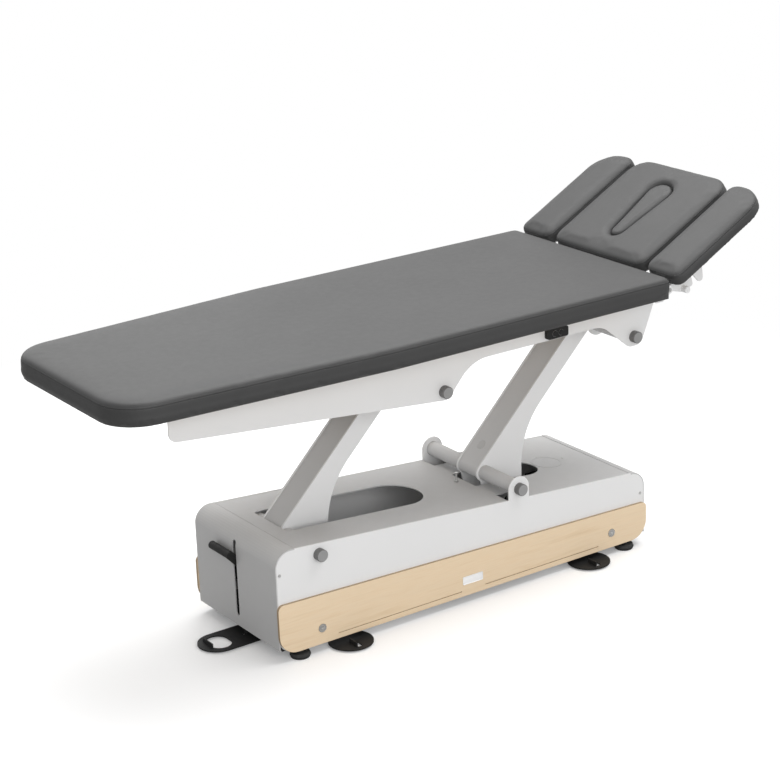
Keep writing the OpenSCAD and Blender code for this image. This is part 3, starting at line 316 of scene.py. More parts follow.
def moulded_plastic(name, colour, rough=0.5, face=None, gloss=0.5):
    """Fine-textured plastic. face is a lighter tone painted on a turned cap's flat end as a painted
    highlight.
    """
    s = Surface(name, colour, rough, Specular_IOR_Level=gloss)
    tone = s.tones(s.grain(14, 2), ((0.3, shade(colour, 0.92)), (0.7, shade(colour, 1.05))))
    # Painted highlight: faces that look along y take the lighter face tone
    if face:
        tone = s.mixed(s.spread(s.facing(1), 0.0, 1.0, 0.80, 0.95), tone, face)
    s.colour(tone)
    s.rough(s.spread(s.grain(120, 3), rough - 0.06, rough + 0.08))
    s.bump(s.cells(1800), 0.10, 0.0003)
    return s.material


def soft_rubber(name, colour):
    s = Surface(name, colour, 0.75)
    s.colour(s.tones(s.grain(30, 3), ((0.3, shade(colour, 0.8)), (0.75, shade(colour, 1.5)))))
    s.rough(s.spread(s.grain(90, 3), 0.65, 0.85))
    s.bump(s.grain(500, 4), 0.2, 0.0005)
    return s.material


def turned_steel(name, colour, rough=0.3):
    """Drawn or turned steel, with fine lines across the shaft."""
    s = Surface(name, colour, rough, 1.0)
    s.colour(s.tones(s.grain(25, 2), ((0.3, shade(colour, 0.9)), (0.7, colour))))
    s.rough(s.spread(s.grain(300, 3, stretch=(1, 6, 1)), rough - 0.08, rough + 0.1))
    s.bump(s.grain(900, 2, stretch=(1, 8, 1)), 0.06, 0.0002)
    return s.material


def birch_ply(name, pale, deep, edge):
    """Lacquered birch: long soft figure, fine pores, and the plies where the sheet is cut, in a dark tone
    that is partly the plies' own colour and partly painted shade.
    """
    s = Surface(name, pale, 0.40, Coat_Weight=0.15, Coat_Roughness=0.3)
    figure = s.grain(6, 4, 0.6, (0.5, 5, 8))
    flecks = s.grain(42, 3, 0.7, (0.35, 9, 14))
    pores = s.grain(60, 2, 0.7, (0.5, 30, 40))
    soft = s.tones(figure, ((0.28, deep), (0.48, pale), (0.62, shade(pale, 0.98)),
                            (0.76, shade(deep, 1.02))))
    fine = s.tones(flecks, ((0.33, shade(pale, 1.15)), (0.55, (1, 1, 1))))
    figured = s.mixed(0.22, soft, fine, "MULTIPLY")
    plies = s.node("ShaderNodeTexWave", Vector=s.place, Scale=130.0, bands_direction="Y",
                   wave_type="BANDS")
    plies.inputs["Distortion"].default_value = 0.3
    bands = s.tones(plies.outputs["Fac"], ((0.35, shade(edge, 0.7)), (0.62, shade(edge, 1.3))))
    # Faces that do not look along y, the cut edges and the walls of the grooves and recess, take the dark
    # ply tone: partly the plies' own colour, partly painted shade, also on the top edge that faces the
    # light
    s.colour(s.mixed(s.spread(s.facing(1), 1.0, 0.0, 0.45, 0.6), figured, bands))
    s.rough(s.spread(pores, 0.36, 0.48))
    s.bump(pores, 0.06, 0.0004)
    return s.material


def bare_plywood(name, pale, deep, cover):
    """Unlacquered plywood with long grain, whose cut edges lie under the dark cover."""
    s = Surface(name, pale, 0.65)
    board = s.tones(s.grain(9, 4, 0.6, (0.8, 7, 12)), ((0.3, deep), (0.6, pale)))
    upright = s.part(s.tree.nodes["Texture Coordinate"].outputs["Normal"], 2)
    s.colour(s.mixed(s.spread(upright, 1.0, 0.0, 0.66, 0.84), board, cover))
    s.rough(s.spread(s.grain(80, 2), 0.6, 0.75))
    s.bump(s.grain(60, 3, 0.7, (0.6, 20, 20)), 0.2, 0.0006)
    return s.material


# Sizes and colours that a user would change

def colour_prop(name, text, value):
    return bpy.props.FloatVectorProperty(name=name, description=text, subtype="COLOR", size=3,
                                         min=0, max=1, default=value)


def length_prop(name, text, value, low, high):
    return bpy.props.FloatProperty(name=name, description=text, subtype="DISTANCE", unit="LENGTH",
                                   default=value, min=low, max=high)


def number_prop(name, text, value, high, subtype="NONE"):
    return bpy.props.FloatProperty(name=name, description=text, subtype=subtype, default=value,
                                   min=0, max=high)


class PadSettings(bpy.types.PropertyGroup):
    """Sizes and colour of the sewn pads"""
    cover: colour_prop("Cover", "Colour of the artificial leather", (0.048, 0.048, 0.048))
    voxel: length_prop("Mesh Size", "Size of the main pad's remeshed faces", 0.007, 0.004, 0.02)
    head_voxel: length_prop("Head Mesh Size", "Size of the head pads' remeshed faces", 0.005, 0.003, 0.02)
    pressure: number_prop("Filling Pressure", "Pressure that swells the foam", 4.0, 20)
    swell: length_prop("Most Swelling", "Furthest that a point of the main pad moves", 0.0010, 0.0, 0.02)
    head_swell: length_prop("Head Swelling", "Furthest that a point of a head pad moves",
                            0.0016, 0.0, 0.02)
    seam_drop: length_prop("Seam Drop", "Depth of the side seam below the main pad's top",
                           0.0155, 0.002, 0.05)
    head_seam_drop: length_prop("Head Seam Drop", "Depth of the side seam below the head pads' tops",
                                0.0145, 0.002, 0.04)
    seam_half: length_prop("Seam Half Width", "Half width of the seam's groove", 0.0016, 0.0005, 0.005)
    seam_depth: length_prop("Seam Depth", "Depth of the seam's groove", 0.0022, 0.0, 0.005)
    rim: length_prop("Face Hole Rim", "Rounding of the face hole's edge", 0.016, 0.002, 0.03)
    stitch: length_prop("Stitch Pitch", "Distance from stitch to stitch", 0.0062, 0.003, 0.02)
    stitch_rise: length_prop("Stitch Rise", "Height of the stitches over the seam", 0.0034, 0.001, 0.01)
    wrap: length_prop("Wrap", "Width of the cover that is drawn round under the board",
                      0.028, 0.005, 0.06)


class MetalSettings(bpy.types.PropertyGroup):
    """Colours of the coated steel, the black parts and the pivot caps"""
    white: colour_prop("White", "Colour of the white powder coat", (0.76, 0.76, 0.76))
    grey: colour_prop("Grey", "Colour of the grey powder coat", (0.51, 0.51, 0.51))
    black: colour_prop("Black", "Colour of the black parts", (0.016, 0.016, 0.016))
    cap: colour_prop("Caps", "Colour of the pivot caps", (0.14, 0.14, 0.14))
    # The caps' flat ends are drawn lighter than their sides: a painted highlight
    cap_face_highlight: colour_prop("Cap Faces", "Colour of the pivot caps' flat ends", (0.27, 0.27, 0.27))


class WoodSettings(bpy.types.PropertyGroup):
    """Tones of the birch panels"""
    pale: colour_prop("Pale", "Light tone of the birch", (0.79, 0.63, 0.44))
    deep: colour_prop("Deep", "Dark tone of the birch", (0.71, 0.54, 0.35))
    # The dark edge tone is partly the plies' own colour and partly painted shade on the panels' cut edges
    edge: colour_prop("Edge", "Tone of the cut plies", (0.34, 0.24, 0.14))


class StageSettings(bpy.types.PropertyGroup):
    """Camera, floor and lamps"""
    lens: number_prop("Lens", "Focal length on a 36 mm sensor", 100.487, 300)
    floor: colour_prop("Floor", "Colour of the floor", (0.80, 0.80, 0.80))
    bounce: colour_prop("Bounce", "Colour of the light that the floor throws back", (0.42, 0.42, 0.42))
    clear: length_prop("Shadow Reach", "Distance at which the floor turns plain white", 1.2, 0.5, 5)
    key: number_prop("Top Light", "Power of the large lamp overhead", 232, 2000, "POWER")
    side: number_prop("Side Light", "Power of the soft lamp at the near side", 80, 2000, "POWER")
    back: number_prop("Back Light", "Power of the low lamp at the far side", 18, 2000, "POWER")
    world: number_prop("Ambient", "Strength of the surrounding light", 0.62, 3)


# Sewn pads

def head_space():
    """From the head section's plane to the table: x along the pads, z out of them from their underside."""
    tilted = Matrix.Translation(HEAD_HINGE) @ Matrix.Rotation(-HEAD_TILT, 4, "Y")
    return tilted @ Matrix.Translation((0, 0, HEAD_LOW))


def main_space():
    return Matrix.Translation((0, 0, MAIN_LOW))


def remesh(piece, size):
    apply(piece, "REMESH", mode="VOXEL", voxel_size=size)
    apply(piece, "SMOOTH", factor=0.5, iterations=4)


def fill_with_foam(piece, space, held_below, pressure, cap):
    """Swells the cover by a cloth simulation, held on its board, and limits how far each point moves."""
    inward = space.inverted()
    mesh = piece.data
    before = [v.co.copy() for v in mesh.vertices]
    held = piece.vertex_groups.new(name="held")
    held.add([v.index for v in mesh.vertices if (inward @ v.co).z < held_below], 1.0, "REPLACE")
    pick(piece)
    cloth = piece.modifiers.new("Cloth", "CLOTH")
    cloth.settings.vertex_group_mass = held.name
    cloth.settings.use_pressure = True
    cloth.settings.uniform_pressure_force = pressure
    cloth.settings.effector_weights.gravity = 0
    cloth.settings.quality = 4
    cloth.collision_settings.use_collision = False
    for number in range(1, CLOTH_FRAMES + 1):
        bpy.context.scene.frame_set(number)
    bpy.ops.object.modifier_apply(modifier=cloth.name)
    for v, old in zip(mesh.vertices, before):
        step = v.co - old
        if step.length > cap:
            v.co = old + step * (cap / step.length)
    piece.vertex_groups.clear()
    bpy.context.scene.frame_set(1)


def hole_distance(x, y):
    """Distance outside the face hole's edge, in the head section's plane."""
    (xa, ra), (xb, rb) = FACE_SMALL, FACE_WIDE
    run = xb - xa
    lean = (rb - ra) / run
    t = ((x - xa) + lean * abs(y) / math.sqrt(1 - lean * lean)) / run
    t = max(0.0, min(1.0, t))
    return math.hypot(x - xa - t * run, y) - (ra + (rb - ra) * t)


def round_hole_rim(piece, space, top, rim):
    """Turns the cover's edge over softly into the face hole."""
    inward = space.inverted()
    for v in piece.data.vertices:
        p = inward @ v.co
        away = max(0.0, hole_distance(p.x, p.y))
        if away < rim:
            limit = top - rim + math.sqrt(max(0.0, rim * rim - (rim - away) ** 2))
            if p.z > limit:
                p.z = limit
                v.co = space @ p


def hug(piece, space, core, below):
    """Draws the lower part of the cover out to the sides of the pad and its board."""
    inward = space.inverted()
    low = piece.vertex_groups.new(name="low")
    low.add([v.index for v in piece.data.vertices if (inward @ v.co).z < below], 1.0, "REPLACE")
    apply(piece, "SHRINKWRAP", target=core, wrap_mode="OUTSIDE_SURFACE", offset=COVER_GAP,
          vertex_group=low.name)
    piece.vertex_groups.clear()
    bpy.data.objects.remove(core)


def wrap_under(piece, space, depth_inside, wrap, board):
    """Lays a strip of the cover under the board's edge, and draws the rest back inside the board."""
    inward = space.inverted()
    for v in piece.data.vertices:
        p = inward @ v.co
        if p.z < board / 2:
            p.z = board / 2 if depth_inside(p) > wrap else -COVER_GAP + 0.4 * max(0.0, p.z)
            v.co = space @ p


def crease_seam(piece, space, level, pads, keep_out=None):
    """Cuts three loops round the side wall and draws the middle one in as the seam."""
    inward = space.inverted()
    up = (space.to_3x3() @ Vector((0, 0, 1))).normalized()
    bm = bmesh.new()
    bm.from_mesh(piece.data)
    for offset in (-pads.seam_half, 0.0, pads.seam_half):
        where = space @ Vector((0, 0, level + offset))
        bmesh.ops.bisect_plane(bm, geom=bm.verts[:] + bm.edges[:] + bm.faces[:], dist=1e-6,
                               plane_co=where, plane_no=up)
    bm.normal_update()
    for v in bm.verts:
        p = inward @ v.co
        if abs(p.z - level) > 2e-5 or (keep_out and keep_out(p)):
            continue
        out = v.normal - up * v.normal.dot(up)
        if out.length > 0.3:
            v.co -= out.normalized() * pads.seam_depth
    bm.to_mesh(piece.data)
    bm.free()


def gather(piece, space, level):
    """Small uneven tucks of the cover close to its seam."""
    inward = space.inverted()
    piece.data.update()
    for v in piece.data.vertices:
        p = inward @ v.co
        near = max(0.0, 1 - abs(p.z - level) / TUCK_REACH)
        if near > 0:
            v.co += v.normal * TUCK_DEPTH * near * noise.noise(p * TUCKS_PER_METRE)


def loop_round(piece, space, level):
    """The longest closed line in which a level cuts a pad, as points and outward directions."""
    up = (space.to_3x3() @ Vector((0, 0, 1))).normalized()
    bm = bmesh.new()
    bm.from_mesh(piece.data)
    cut = bmesh.ops.bisect_plane(bm, geom=bm.verts[:] + bm.edges[:] + bm.faces[:], dist=1e-6,
                                 plane_co=space @ Vector((0, 0, level)), plane_no=up)["geom_cut"]
    edges = dict.fromkeys(e for e in cut if isinstance(e, bmesh.types.BMEdge))
    bm.normal_update()
    best = []
    while edges:
        edge, _ = edges.popitem()
        start, here = edge.verts
        line = [start]
        while here != start:
            line.append(here)
            onward = [e for e in here.link_edges if e in edges]
            if not onward:
                break
            del edges[onward[0]]
            here = onward[0].other_vert(here)
        if len(line) > len(best):
            best = line
    points = [(v.co.copy(), (v.normal - up * v.normal.dot(up)).normalized()) for v in best]
    bm.free()
    return points


def sew(piece, name, space, level, pads, thread, body):
    """Small stitches at equal steps round a pad, on its cover."""
    points = loop_round(piece, space, level)
    bpy.ops.object.select_all(action="DESELECT")
    bpy.ops.mesh.primitive_uv_sphere_add(segments=6, ring_count=4, radius=1.0)
    one = bpy.context.object
    one.scale = STITCH_HALVES
    at_origin(one)
    shape = [v.co.copy() for v in one.data.vertices]
    sides = [tuple(face.vertices) for face in one.data.polygons]
    corners, faces = [], []
    carried = 0.0
    for (a, n), (b, _) in zip(points, points[1:] + points[:1]):
        run = b - a
        along = run.normalized()
        turn = Matrix((along, n.cross(along), n)).transposed()
        while carried < run.length:
            first = len(corners)
            corners.extend(a + along * carried + turn @ p for p in shape)
            faces.extend(tuple(first + i for i in face) for face in sides)
            carried += pads.stitch
        carried -= run.length
    bpy.data.objects.remove(one)
    sewn = bpy.data.objects.new(name, bpy.data.meshes.new(name))
    bpy.context.scene.collection.objects.link(sewn)
    sewn.data.from_pydata(corners, [], faces)
    pick(sewn)
    bpy.ops.object.mode_set(mode="EDIT")
    bpy.ops.mesh.select_all(action="SELECT")
    bpy.ops.mesh.normals_make_consistent(inside=False)
    bpy.ops.object.mode_set(mode="OBJECT")
    bpy.ops.object.shade_smooth()
    dress(sewn, thread, body)


def inside_main():
    """A function for how far inside the main pad's outline a point lies."""
    low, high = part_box("main_pad")

    def depth(p):
        part = max(0.0, min(1.0, (TAPER_X - p.x) / (TAPER_X - low.x)))
        return min(p.x - low.x, high.x - p.x, high.y + (FOOT_HALF - high.y) * part - abs(p.y))
    return depth


def inside_box(piece, space, hole):
    """The same for a head pad, whose outline is its box in its own plane."""
    inward = space.inverted()
    points = [inward @ v.co for v in piece.data.vertices]
    x0, x1 = min(p.x for p in points), max(p.x for p in points)
    y0, y1 = min(p.y for p in points), max(p.y for p in points)

    def depth(p):
        edge = min(p.x - x0, x1 - p.x, p.y - y0, y1 - p.y)
        return min(edge, hole_distance(p.x, p.y) + HOLE_WRAP_LESS) if hole else edge
    return depth


def dress_pad(node, board, name, body, space, thick, board_t, drop, voxel, swell, pads, cover, thread,
              hole=False):
    """One sewn pad from its CAD solid and board: remeshed, swollen, seamed, stitched and finished."""
    piece = joined(copy_of(node, name), copy_of(board, name + "_core"))
    depth_inside = inside_main() if node == "main_pad" else inside_box(piece, space, hole)
    core = bpy.data.objects.new(name + "_hull", piece.data.copy())
    bpy.context.scene.collection.objects.link(core)
    remesh(piece, voxel)
    fill_with_foam(piece, space, board_t + HELD_OVER_BOARD, pads.pressure, swell)
    apply(piece, "SMOOTH", factor=0.5, iterations=6)
    if hole:
        round_hole_rim(piece, space, thick, pads.rim)
        apply(piece, "SMOOTH", factor=0.5, iterations=4)
    hug(piece, space, core, board_t)
    wrap_under(piece, space, depth_inside, pads.wrap, board_t)
    gather(piece, space, thick - drop)
    apply(piece, "SUBSURF", levels=1, render_levels=1)
    aside = (lambda p: hole_distance(p.x, p.y) < HOLE_SEAM_FREE) if hole else None
    crease_seam(piece, space, thick - drop, pads, aside)
    pick(piece)
    bpy.ops.object.shade_smooth()
    dress(piece, cover, body)
    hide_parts(node)
    sew(piece, name + "_stitches", space, thick - drop + pads.stitch_rise, pads, thread, body)


def pad_materials(pads):
    cover = bpy.data.materials.get("artificial_leather") or artificial_leather(tuple(pads.cover))
    thread = bpy.data.materials.get("seam_thread") or seam_thread(tuple(pads.cover))
    return cover, thread


class TABLE_OT_main_pad(bpy.types.Operator):
    """Sews the long main pad over its board"""
    bl_idname = "massage_table.main_pad"
    bl_label = "Main Pad"

    def execute(self, context):
        pads = context.scene.table_pads
        low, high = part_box("main_pad")
        under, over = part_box("main_board")
        dress_pad("main_pad", "main_board", "main_pad_cover", "upper_frame", main_space(), high.z - low.z,
                  over.z - under.z, pads.seam_drop, pads.voxel, pads.swell, pads, *pad_materials(pads))
        return {"FINISHED"}


class TABLE_OT_head_pads(bpy.types.Operator):
    """Sews the centre pad and the two armrest pads"""
    bl_idname = "massage_table.head_pads"
    bl_label = "Head Pads"

    def execute(self, context):
        pads = context.scene.table_pads
        space = head_space()
        for node, board, body in (("centre_pad", "centre_board", "head_section"),
                                  ("armrest_pad_near", "armrest_board_near", "armrest_near"),
                                  ("armrest_pad_far", "armrest_board_far", "armrest_far")):
            dress_pad(node, board, node + "_cover", body, space, HEAD_THICK, HEAD_BOARD,
                      pads.head_seam_drop, pads.head_voxel, pads.head_swell, pads, *pad_materials(pads),
                      hole=node == "centre_pad")
        return {"FINISHED"}


class TABLE_OT_face_plug(bpy.types.Operator):
    """Sews the small pad that fills the face hole"""
    bl_idname = "massage_table.face_plug"
    bl_label = "Face Plug"

    def execute(self, context):
        pads = context.scene.table_pads
        cover, _ = pad_materials(pads)
        piece = copy_of("face_plug", "face_plug_cover")
        apply(piece, "REMESH", mode="VOXEL", voxel_size=FACE_PLUG_VOXEL)
        apply(piece, "SMOOTH", factor=0.5, iterations=10)
        fill_with_foam(piece, head_space(), FACE_PLUG_HELD, pads.pressure, FACE_PLUG_SWELL)
        apply(piece, "SUBSURF", levels=1, render_levels=1)
        pick(piece)
        bpy.ops.object.shade_smooth()
        dress(piece, cover, "face_plug")
        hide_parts("face_plug")
        return {"FINISHED"}


# Steel, plastic, rubber and wood of the CAD nodes

def finish_node(node, material):
    made = NODES[node]
    made.data.materials.clear()
    made.data.materials.append(material)


def soften_edges(node, width, segments):
    """Live weld and bevel on a board, so that its edges lie inside the cover."""
    made = NODES[node]
    weld = made.modifiers.new("Weld", "WELD")
    weld.merge_threshold = 1e-5
    bevel = made.modifiers.new("Bevel", "BEVEL")
    bevel.width = width
    bevel.segments = segments
    bevel.limit_method = "ANGLE"
    bevel.angle_limit = math.radians(40)
    bevel.use_clamp_overlap = True
    bevel.harden_normals = True


class TABLE_OT_coated_steel(bpy.types.Operator):
    """Powder coats the base, legs and upper frame"""
    bl_idname = "massage_table.coated_steel"
    bl_label = "Coated Steel"

    def execute(self, context):
        metal = context.scene.table_metal
        white = powder_coat("white_powder_coat", metal.white)
        grey = powder_coat("grey_powder_coat", metal.grey, 0.46)
        # Lighter copy of the grey coat. On the head-end leg's cover it is painted light: that sheet has
        # the same grey paint as the others and is drawn lighter to stand for more light on it. The hubs
        # take it as their own grey.
        pale = powder_coat("pale_grey_coat", shade(metal.grey, 1.15), 0.46)
        black = powder_coat("black_powder_coat", metal.black, 0.55, gloss=0.2)
        for node in ("side_plate_near", "side_plate_far", "leg_foot_plates", "leg_head_plates",
                     "upper_plate_near", "upper_plate_far", "upper_cross_tubes", "outer_hinge_brackets",
                     "head_frame", "armrest_arms_near", "armrest_arms_far", "armrest_lever_near",
                     "armrest_lever_far"):
            finish_node(node, white)
        for node in ("foot_end_cover", "head_end_cover", "leg_foot_cover", "top_plate"):
            finish_node(node, grey)
        # Head-end leg's cover: painted lighter, as above; the hubs: their own grey
        for node in ("leg_head_cover", "leg_foot_hubs", "leg_head_hubs"):
            finish_node(node, pale)
        for node in ("foot_control_frame", "castor_pedal", "gas_spring_cylinder", "base_cross_frame",
                     "castor_bearings"):
            finish_node(node, black)
        return {"FINISHED"}


class TABLE_OT_small_parts(bpy.types.Operator):
    """Gives shafts, caps, screws, wheels, feet and housings their steel, plastic and rubber"""
    bl_idname = "massage_table.small_parts"
    bl_label = "Small Parts"

    def execute(self, context):
        metal = context.scene.table_metal
        steel = turned_steel("turned_steel", (0.62, 0.62, 0.61))
        zinc = turned_steel("zinc_plate", (0.70, 0.71, 0.73), 0.36)
        # Grey caps whose flat ends take a lighter tone as a painted highlight
        cap = moulded_plastic("grey_cap_plastic", metal.cap, 0.45, face=tuple(metal.cap_face_highlight))
        black = moulded_plastic("black_housing_plastic", metal.black, 0.45, gloss=0.2)
        rubber = soft_rubber("foot_rubber", (0.014, 0.014, 0.014))
        tread = soft_rubber("castor_tread", (0.03, 0.03, 0.03))
        groups = {
            steel: ("pivot_shafts_lower", "pivot_shafts_upper", "stop_bolt", "wood_panel_screws",
                    "cover_screws", "actuator_rod", "head_hinge_shaft", "gas_spring_rod"),
            zinc: ("castor_shaft_foot", "castor_shaft_head", "castor_link_rod"),
            cap: ("pivot_caps_lower", "pivot_caps_upper"),
            black: ("actuator_housing", "control_unit", "mains_inlet", "control_box", "button_up",
                    "button_down"),
            rubber: ("rubber_feet",),
            tread: ("castor_wheel_foot_near", "castor_wheel_foot_far", "castor_wheel_head_near",
                    "castor_wheel_head_far"),
        }
        for material, nodes in groups.items():
            for node in nodes:
                finish_node(node, material)
        return {"FINISHED"}


class TABLE_OT_wood(bpy.types.Operator):
    """Lacquered birch on the base's panels and bare plywood under the pads"""
    bl_idname = "massage_table.wood"
    bl_label = "Wood"

    def execute(self, context):
        wood = context.scene.table_wood
        birch = birch_ply("lacquered_birch", tuple(wood.pale), tuple(wood.deep), tuple(wood.edge))
        ply = bare_plywood("bare_plywood", (0.52, 0.38, 0.22), (0.42, 0.29, 0.16),
                           tuple(context.scene.table_pads.cover))
        for node in ("wood_panel_near", "wood_panel_far"):
            finish_node(node, birch)
        for node in ("main_board", "centre_board", "armrest_board_near", "armrest_board_far"):
            finish_node(node, ply)
            soften_edges(node, BOARD_ROUNDING, 3)
        return {"FINISHED"}


class TABLE_OT_blank_plates(bpy.types.Operator):
    """Sets a blank white plate into the recess of each wooden panel"""
    bl_idname = "massage_table.blank_plates"
    bl_label = "Blank Plates"

    def execute(self, context):
        white = moulded_plastic("white_plate_plastic", (0.84, 0.84, 0.84), 0.35)
        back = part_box("wood_panel_near")[0].y + RECESS_DEPTH
        (x0, z0), (x1, z1) = RECESS_LOW, RECESS_HIGH
        for side, sign in (("near", 1), ("far", -1)):
            bpy.ops.object.select_all(action="DESELECT")
            bpy.ops.mesh.primitive_cube_add(size=1.0)
            plate = bpy.context.object
            plate.name = "blank_plate_" + side
            plate.scale = (x1 - x0 - 2 * PLATE_GAP, PLATE_THICK, z1 - z0 - 2 * PLATE_GAP)
            plate.location = (BASE_X + (x1 + x0) / 2, sign * (back - PLATE_THICK / 2), (z1 + z0) / 2)
            at_origin(plate)
            bpy.ops.object.mode_set(mode="EDIT")
            bpy.ops.mesh.select_all(action="DESELECT")
            bpy.ops.object.mode_set(mode="OBJECT")
            for edge in plate.data.edges:
                a, b = (plate.data.vertices[i].co for i in edge.vertices)
                edge.select = abs(a.y - b.y) > PLATE_THICK / 2
            bpy.ops.object.mode_set(mode="EDIT")
            bpy.ops.mesh.select_mode(type="EDGE")
            bpy.ops.mesh.bevel(offset=PLATE_CORNER, segments=4)
            bpy.ops.object.mode_set(mode="OBJECT")
            apply(plate, "BEVEL", width=PLATE_ROUNDING, segments=2, limit_method="ANGLE",
                  angle_limit=math.radians(50))
            bpy.ops.object.shade_smooth_by_angle(angle=math.radians(35))
            dress(plate, white, "base")
        return {"FINISHED"}


class TABLE_OT_leg_plug(bpy.types.Operator):
    """Presses a pale round plug into the front sheet of the head-end leg"""
    bl_idname = "massage_table.leg_plug"
    bl_label = "Leg Plug"

    def execute(self, context):
        out = Vector((-1, 0, 1)).normalized()
        along = Vector((1, 0, 1)).normalized()
        place = LEG_PIVOT + out * LEG_FRONT + along * LEG_PLUG_UP
        bpy.ops.object.select_all(action="DESELECT")
        bpy.ops.mesh.primitive_cylinder_add(vertices=40, radius=LEG_PLUG_RADIUS, depth=LEG_PLUG_THICK)
        plug = bpy.context.object
        plug.name = "leg_plug"
        bpy.ops.object.mode_set(mode="EDIT")
        bpy.ops.mesh.select_all(action="DESELECT")
        bpy.ops.object.mode_set(mode="OBJECT")
        for face in plug.data.polygons:
            face.select = face.normal.z > 0.9
        bpy.ops.object.mode_set(mode="EDIT")
        bpy.ops.mesh.select_mode(type="FACE")
        for width, rise in LEG_PLUG_STEPS:
            bpy.ops.mesh.inset(thickness=width, depth=rise)
        bpy.ops.object.mode_set(mode="OBJECT")
        plug.matrix_world = Matrix.Translation(place) @ out.to_track_quat("Z", "Y").to_matrix().to_4x4()
        at_origin(plug)
        bpy.ops.object.shade_smooth_by_angle(angle=math.radians(30))
        pale = moulded_plastic("pale_plug_plastic", (0.55, 0.55, 0.55), 0.45)
        dress(plug, pale, "leg_head")
        return {"FINISHED"}


class TABLE_OT_button_rings(bpy.types.Operator):
    """Lays a thin pale ring round each of the two push buttons"""
    bl_idname = "massage_table.button_rings"
    bl_label = "Button Rings"

    def execute(self, context):
        ring_grey = moulded_plastic("grey_ring_plastic", (0.16, 0.16, 0.16), 0.4)
        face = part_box("control_box")[0].y
        for node in ("button_up", "button_down"):
            low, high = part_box(node)
            bpy.ops.object.select_all(action="DESELECT")
            bpy.ops.mesh.primitive_torus_add(major_segments=48, minor_segments=8, minor_radius=RING_HALF,
                                             major_radius=(high.x - low.x) / 2 + RING_GAP)
            ring = bpy.context.object
            ring.name = node + "_ring"
            ring.rotation_euler = (math.radians(90), 0, 0)
            ring.location = ((low.x + high.x) / 2, face, (low.z + high.z) / 2)
            at_origin(ring)
            bpy.ops.object.shade_smooth()
            dress(ring, ring_grey, "upper_frame")
        return {"FINISHED"}


# Stage

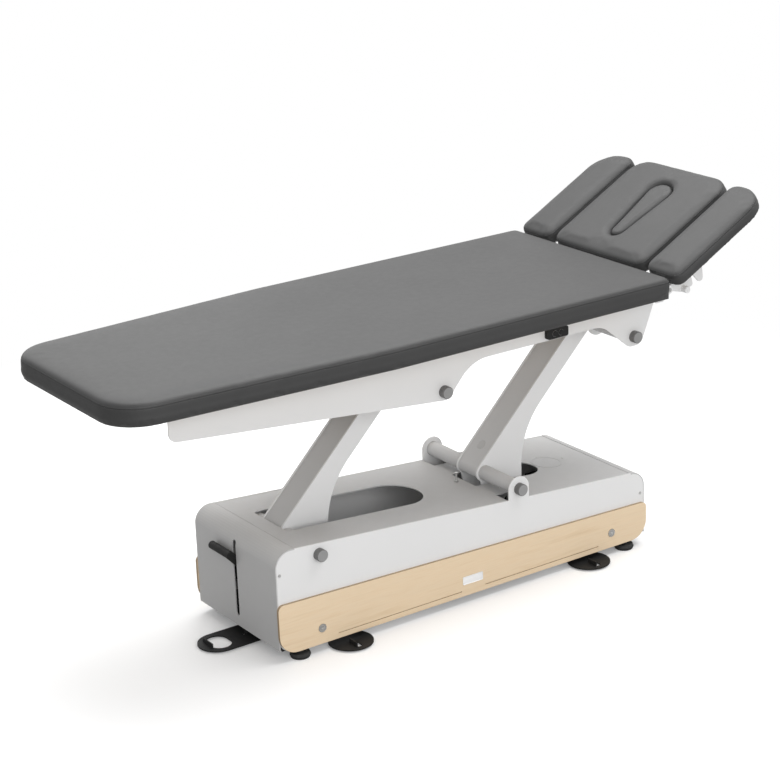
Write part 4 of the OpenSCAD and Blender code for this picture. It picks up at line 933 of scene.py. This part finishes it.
class TABLE_OT_stage(bpy.types.Operator):
    """Pale floor, soft lamps and the camera at the photographed angle"""
    bl_idname = "massage_table.stage"
    bl_label = "Stage"

    def lamp(self, name, place, aim, size, power):
        """A soft rectangular lamp that shines at a point."""
        bpy.ops.object.light_add(type="AREA", location=place)
        made = bpy.context.object
        made.name = name
        made.data.shape = "RECTANGLE"
        made.data.size, made.data.size_y = size
        made.data.energy = power
        made.rotation_euler = (Vector(aim) - Vector(place)).to_track_quat("-Z", "Y").to_euler()

    def floor(self, stage):
        """A floor that keeps the table's shadow, and is plain white for the camera further out."""
        bpy.ops.mesh.primitive_plane_add(size=60, location=(0, 0, 0))
        floor = bpy.context.object
        floor.name = "studio_floor"
        at_origin(floor)
        s = Surface("studio_floor", tuple(stage.floor), 0.8, Specular_IOR_Level=0.1)
        s.colour(s.tones(s.grain(0.6, 2), ((0.3, shade(stage.floor, 0.99)), (0.7, tuple(stage.floor)))))
        lift = s.node("ShaderNodeEmission", Strength=0.16)
        white = s.node("ShaderNodeEmission", Strength=1.0)
        lit = s.node("ShaderNodeAddShader")
        s.tree.links.new(s.shader.outputs[0], lit.inputs[0])
        s.tree.links.new(lift.outputs[0], lit.inputs[1])
        away = s.node("ShaderNodeVectorMath", operation="LENGTH")
        s.tree.links.new(s.place, away.inputs[0])
        seen = self.either(s.tree, s.spread(away.outputs["Value"], 0, 1, stage.clear, 2 * stage.clear),
                           lit.outputs[0], white.outputs[0])
        dim = s.node("ShaderNodeBsdfDiffuse", Color=(*stage.bounce, 1))
        path = s.node("ShaderNodeLightPath")
        shown = self.either(s.tree, path.outputs["Is Camera Ray"], dim.outputs[0], seen)
        s.tree.links.new(shown, s.tree.nodes["Material Output"].inputs["Surface"])
        floor.data.materials.append(s.material)

    def seen_directly(self, tree):
        """One for rays from the camera and for mirrored ones."""
        path = tree.nodes.new("ShaderNodeLightPath")
        most = tree.nodes.new("ShaderNodeMath")
        most.operation = "MAXIMUM"
        tree.links.new(path.outputs["Is Camera Ray"], most.inputs[0])
        tree.links.new(path.outputs["Is Glossy Ray"], most.inputs[1])
        return most.outputs[0]

    def either(self, tree, factor, first, second):
        mix = tree.nodes.new("ShaderNodeMixShader")
        for socket, value in zip(mix.inputs, (factor, first, second)):
            tree.links.new(value, socket)
        return mix.outputs[0]

    def air(self, scene, stage):
        """White surroundings: full strength where seen, and plain soft light elsewhere."""
        world = bpy.data.worlds.new("studio_air")
        scene.world = world
        world.use_nodes = True
        tree = world.node_tree
        soft = tree.nodes["Background"]
        bright = tree.nodes.new("ShaderNodeBackground")
        for made, strength in ((soft, stage.world), (bright, 1.0)):
            made.inputs["Color"].default_value = (1, 1, 1, 1)
            made.inputs["Strength"].default_value = strength
        both = self.either(tree, self.seen_directly(tree), soft.outputs[0], bright.outputs[0])
        tree.links.new(both, tree.nodes["World Output"].inputs["Surface"])

    def camera(self, scene, stage):
        bpy.ops.object.camera_add(location=(BASE_X + CAMERA_PLACE[0], *CAMERA_PLACE[1:]))
        camera = bpy.context.object
        camera.name = "photo_camera"
        azimuth, height, roll = (math.radians(angle) for angle in CAMERA_ANGLES)
        level = math.cos(height)
        back = Vector((math.sin(azimuth) * level, -math.cos(azimuth) * level, math.sin(height)))
        right = (-back).cross(Vector((0, 0, 1))).normalized()
        up = right.cross(-back)
        turned = right * math.cos(roll) + up * math.sin(roll)
        upright = up * math.cos(roll) - right * math.sin(roll)
        camera.rotation_euler = Matrix((turned, upright, back)).transposed().to_euler()
        camera.data.sensor_width = 36
        camera.data.sensor_fit = "HORIZONTAL"
        camera.data.lens = stage.lens
        camera.data.clip_end = 100
        scene.camera = camera

    def execute(self, context):
        stage = context.scene.table_stage
        bpy.ops.object.select_all(action="DESELECT")
        self.floor(stage)
        self.air(context.scene, stage)
        for name, place, aim, size, power in LAMPS:
            self.lamp(name, place, aim, size, getattr(stage, power))
        self.camera(context.scene, stage)
        context.scene.view_settings.view_transform = "Standard"
        return {"FINISHED"}


class TABLE_PT_looks(bpy.types.Panel):
    """The table's pieces, in the order in which they are made"""
    bl_label = "Massage Table"
    bl_idname = "TABLE_PT_looks"
    bl_space_type = "VIEW_3D"
    bl_region_type = "UI"
    bl_category = "Massage Table"

    def draw(self, context):
        for name in SETTINGS:
            settings = getattr(context.scene, name)
            box = self.layout.box()
            for key in settings.__annotations__:
                box.prop(settings, key)
        for made in OPERATORS:
            self.layout.operator(made.bl_idname)


OPERATORS = (TABLE_OT_stage, TABLE_OT_coated_steel, TABLE_OT_small_parts, TABLE_OT_wood,
             TABLE_OT_blank_plates, TABLE_OT_leg_plug, TABLE_OT_button_rings, TABLE_OT_main_pad,
             TABLE_OT_head_pads, TABLE_OT_face_plug)
SETTINGS = {"table_pads": PadSettings, "table_metal": MetalSettings, "table_wood": WoodSettings,
            "table_stage": StageSettings}
CLASSES = (*SETTINGS.values(), *OPERATORS, TABLE_PT_looks)


def register():
    for cls in CLASSES:
        bpy.utils.register_class(cls)
    for name, cls in SETTINGS.items():
        setattr(bpy.types.Scene, name, bpy.props.PointerProperty(type=cls))


def unregister():
    for name in SETTINGS:
        delattr(bpy.types.Scene, name)
    for cls in reversed(CLASSES):
        bpy.utils.unregister_class(cls)


def main():
    register()
    bpy.ops.object.select_all(action="DESELECT")
    bpy.ops.massage_table.stage()
    bpy.ops.massage_table.coated_steel()
    bpy.ops.massage_table.small_parts()
    bpy.ops.massage_table.wood()
    bpy.ops.massage_table.blank_plates()
    bpy.ops.massage_table.leg_plug()
    bpy.ops.massage_table.button_rings()
    bpy.ops.massage_table.main_pad()
    bpy.ops.massage_table.head_pads()
    bpy.ops.massage_table.face_plug()


if __name__ == "__main__":
    main()
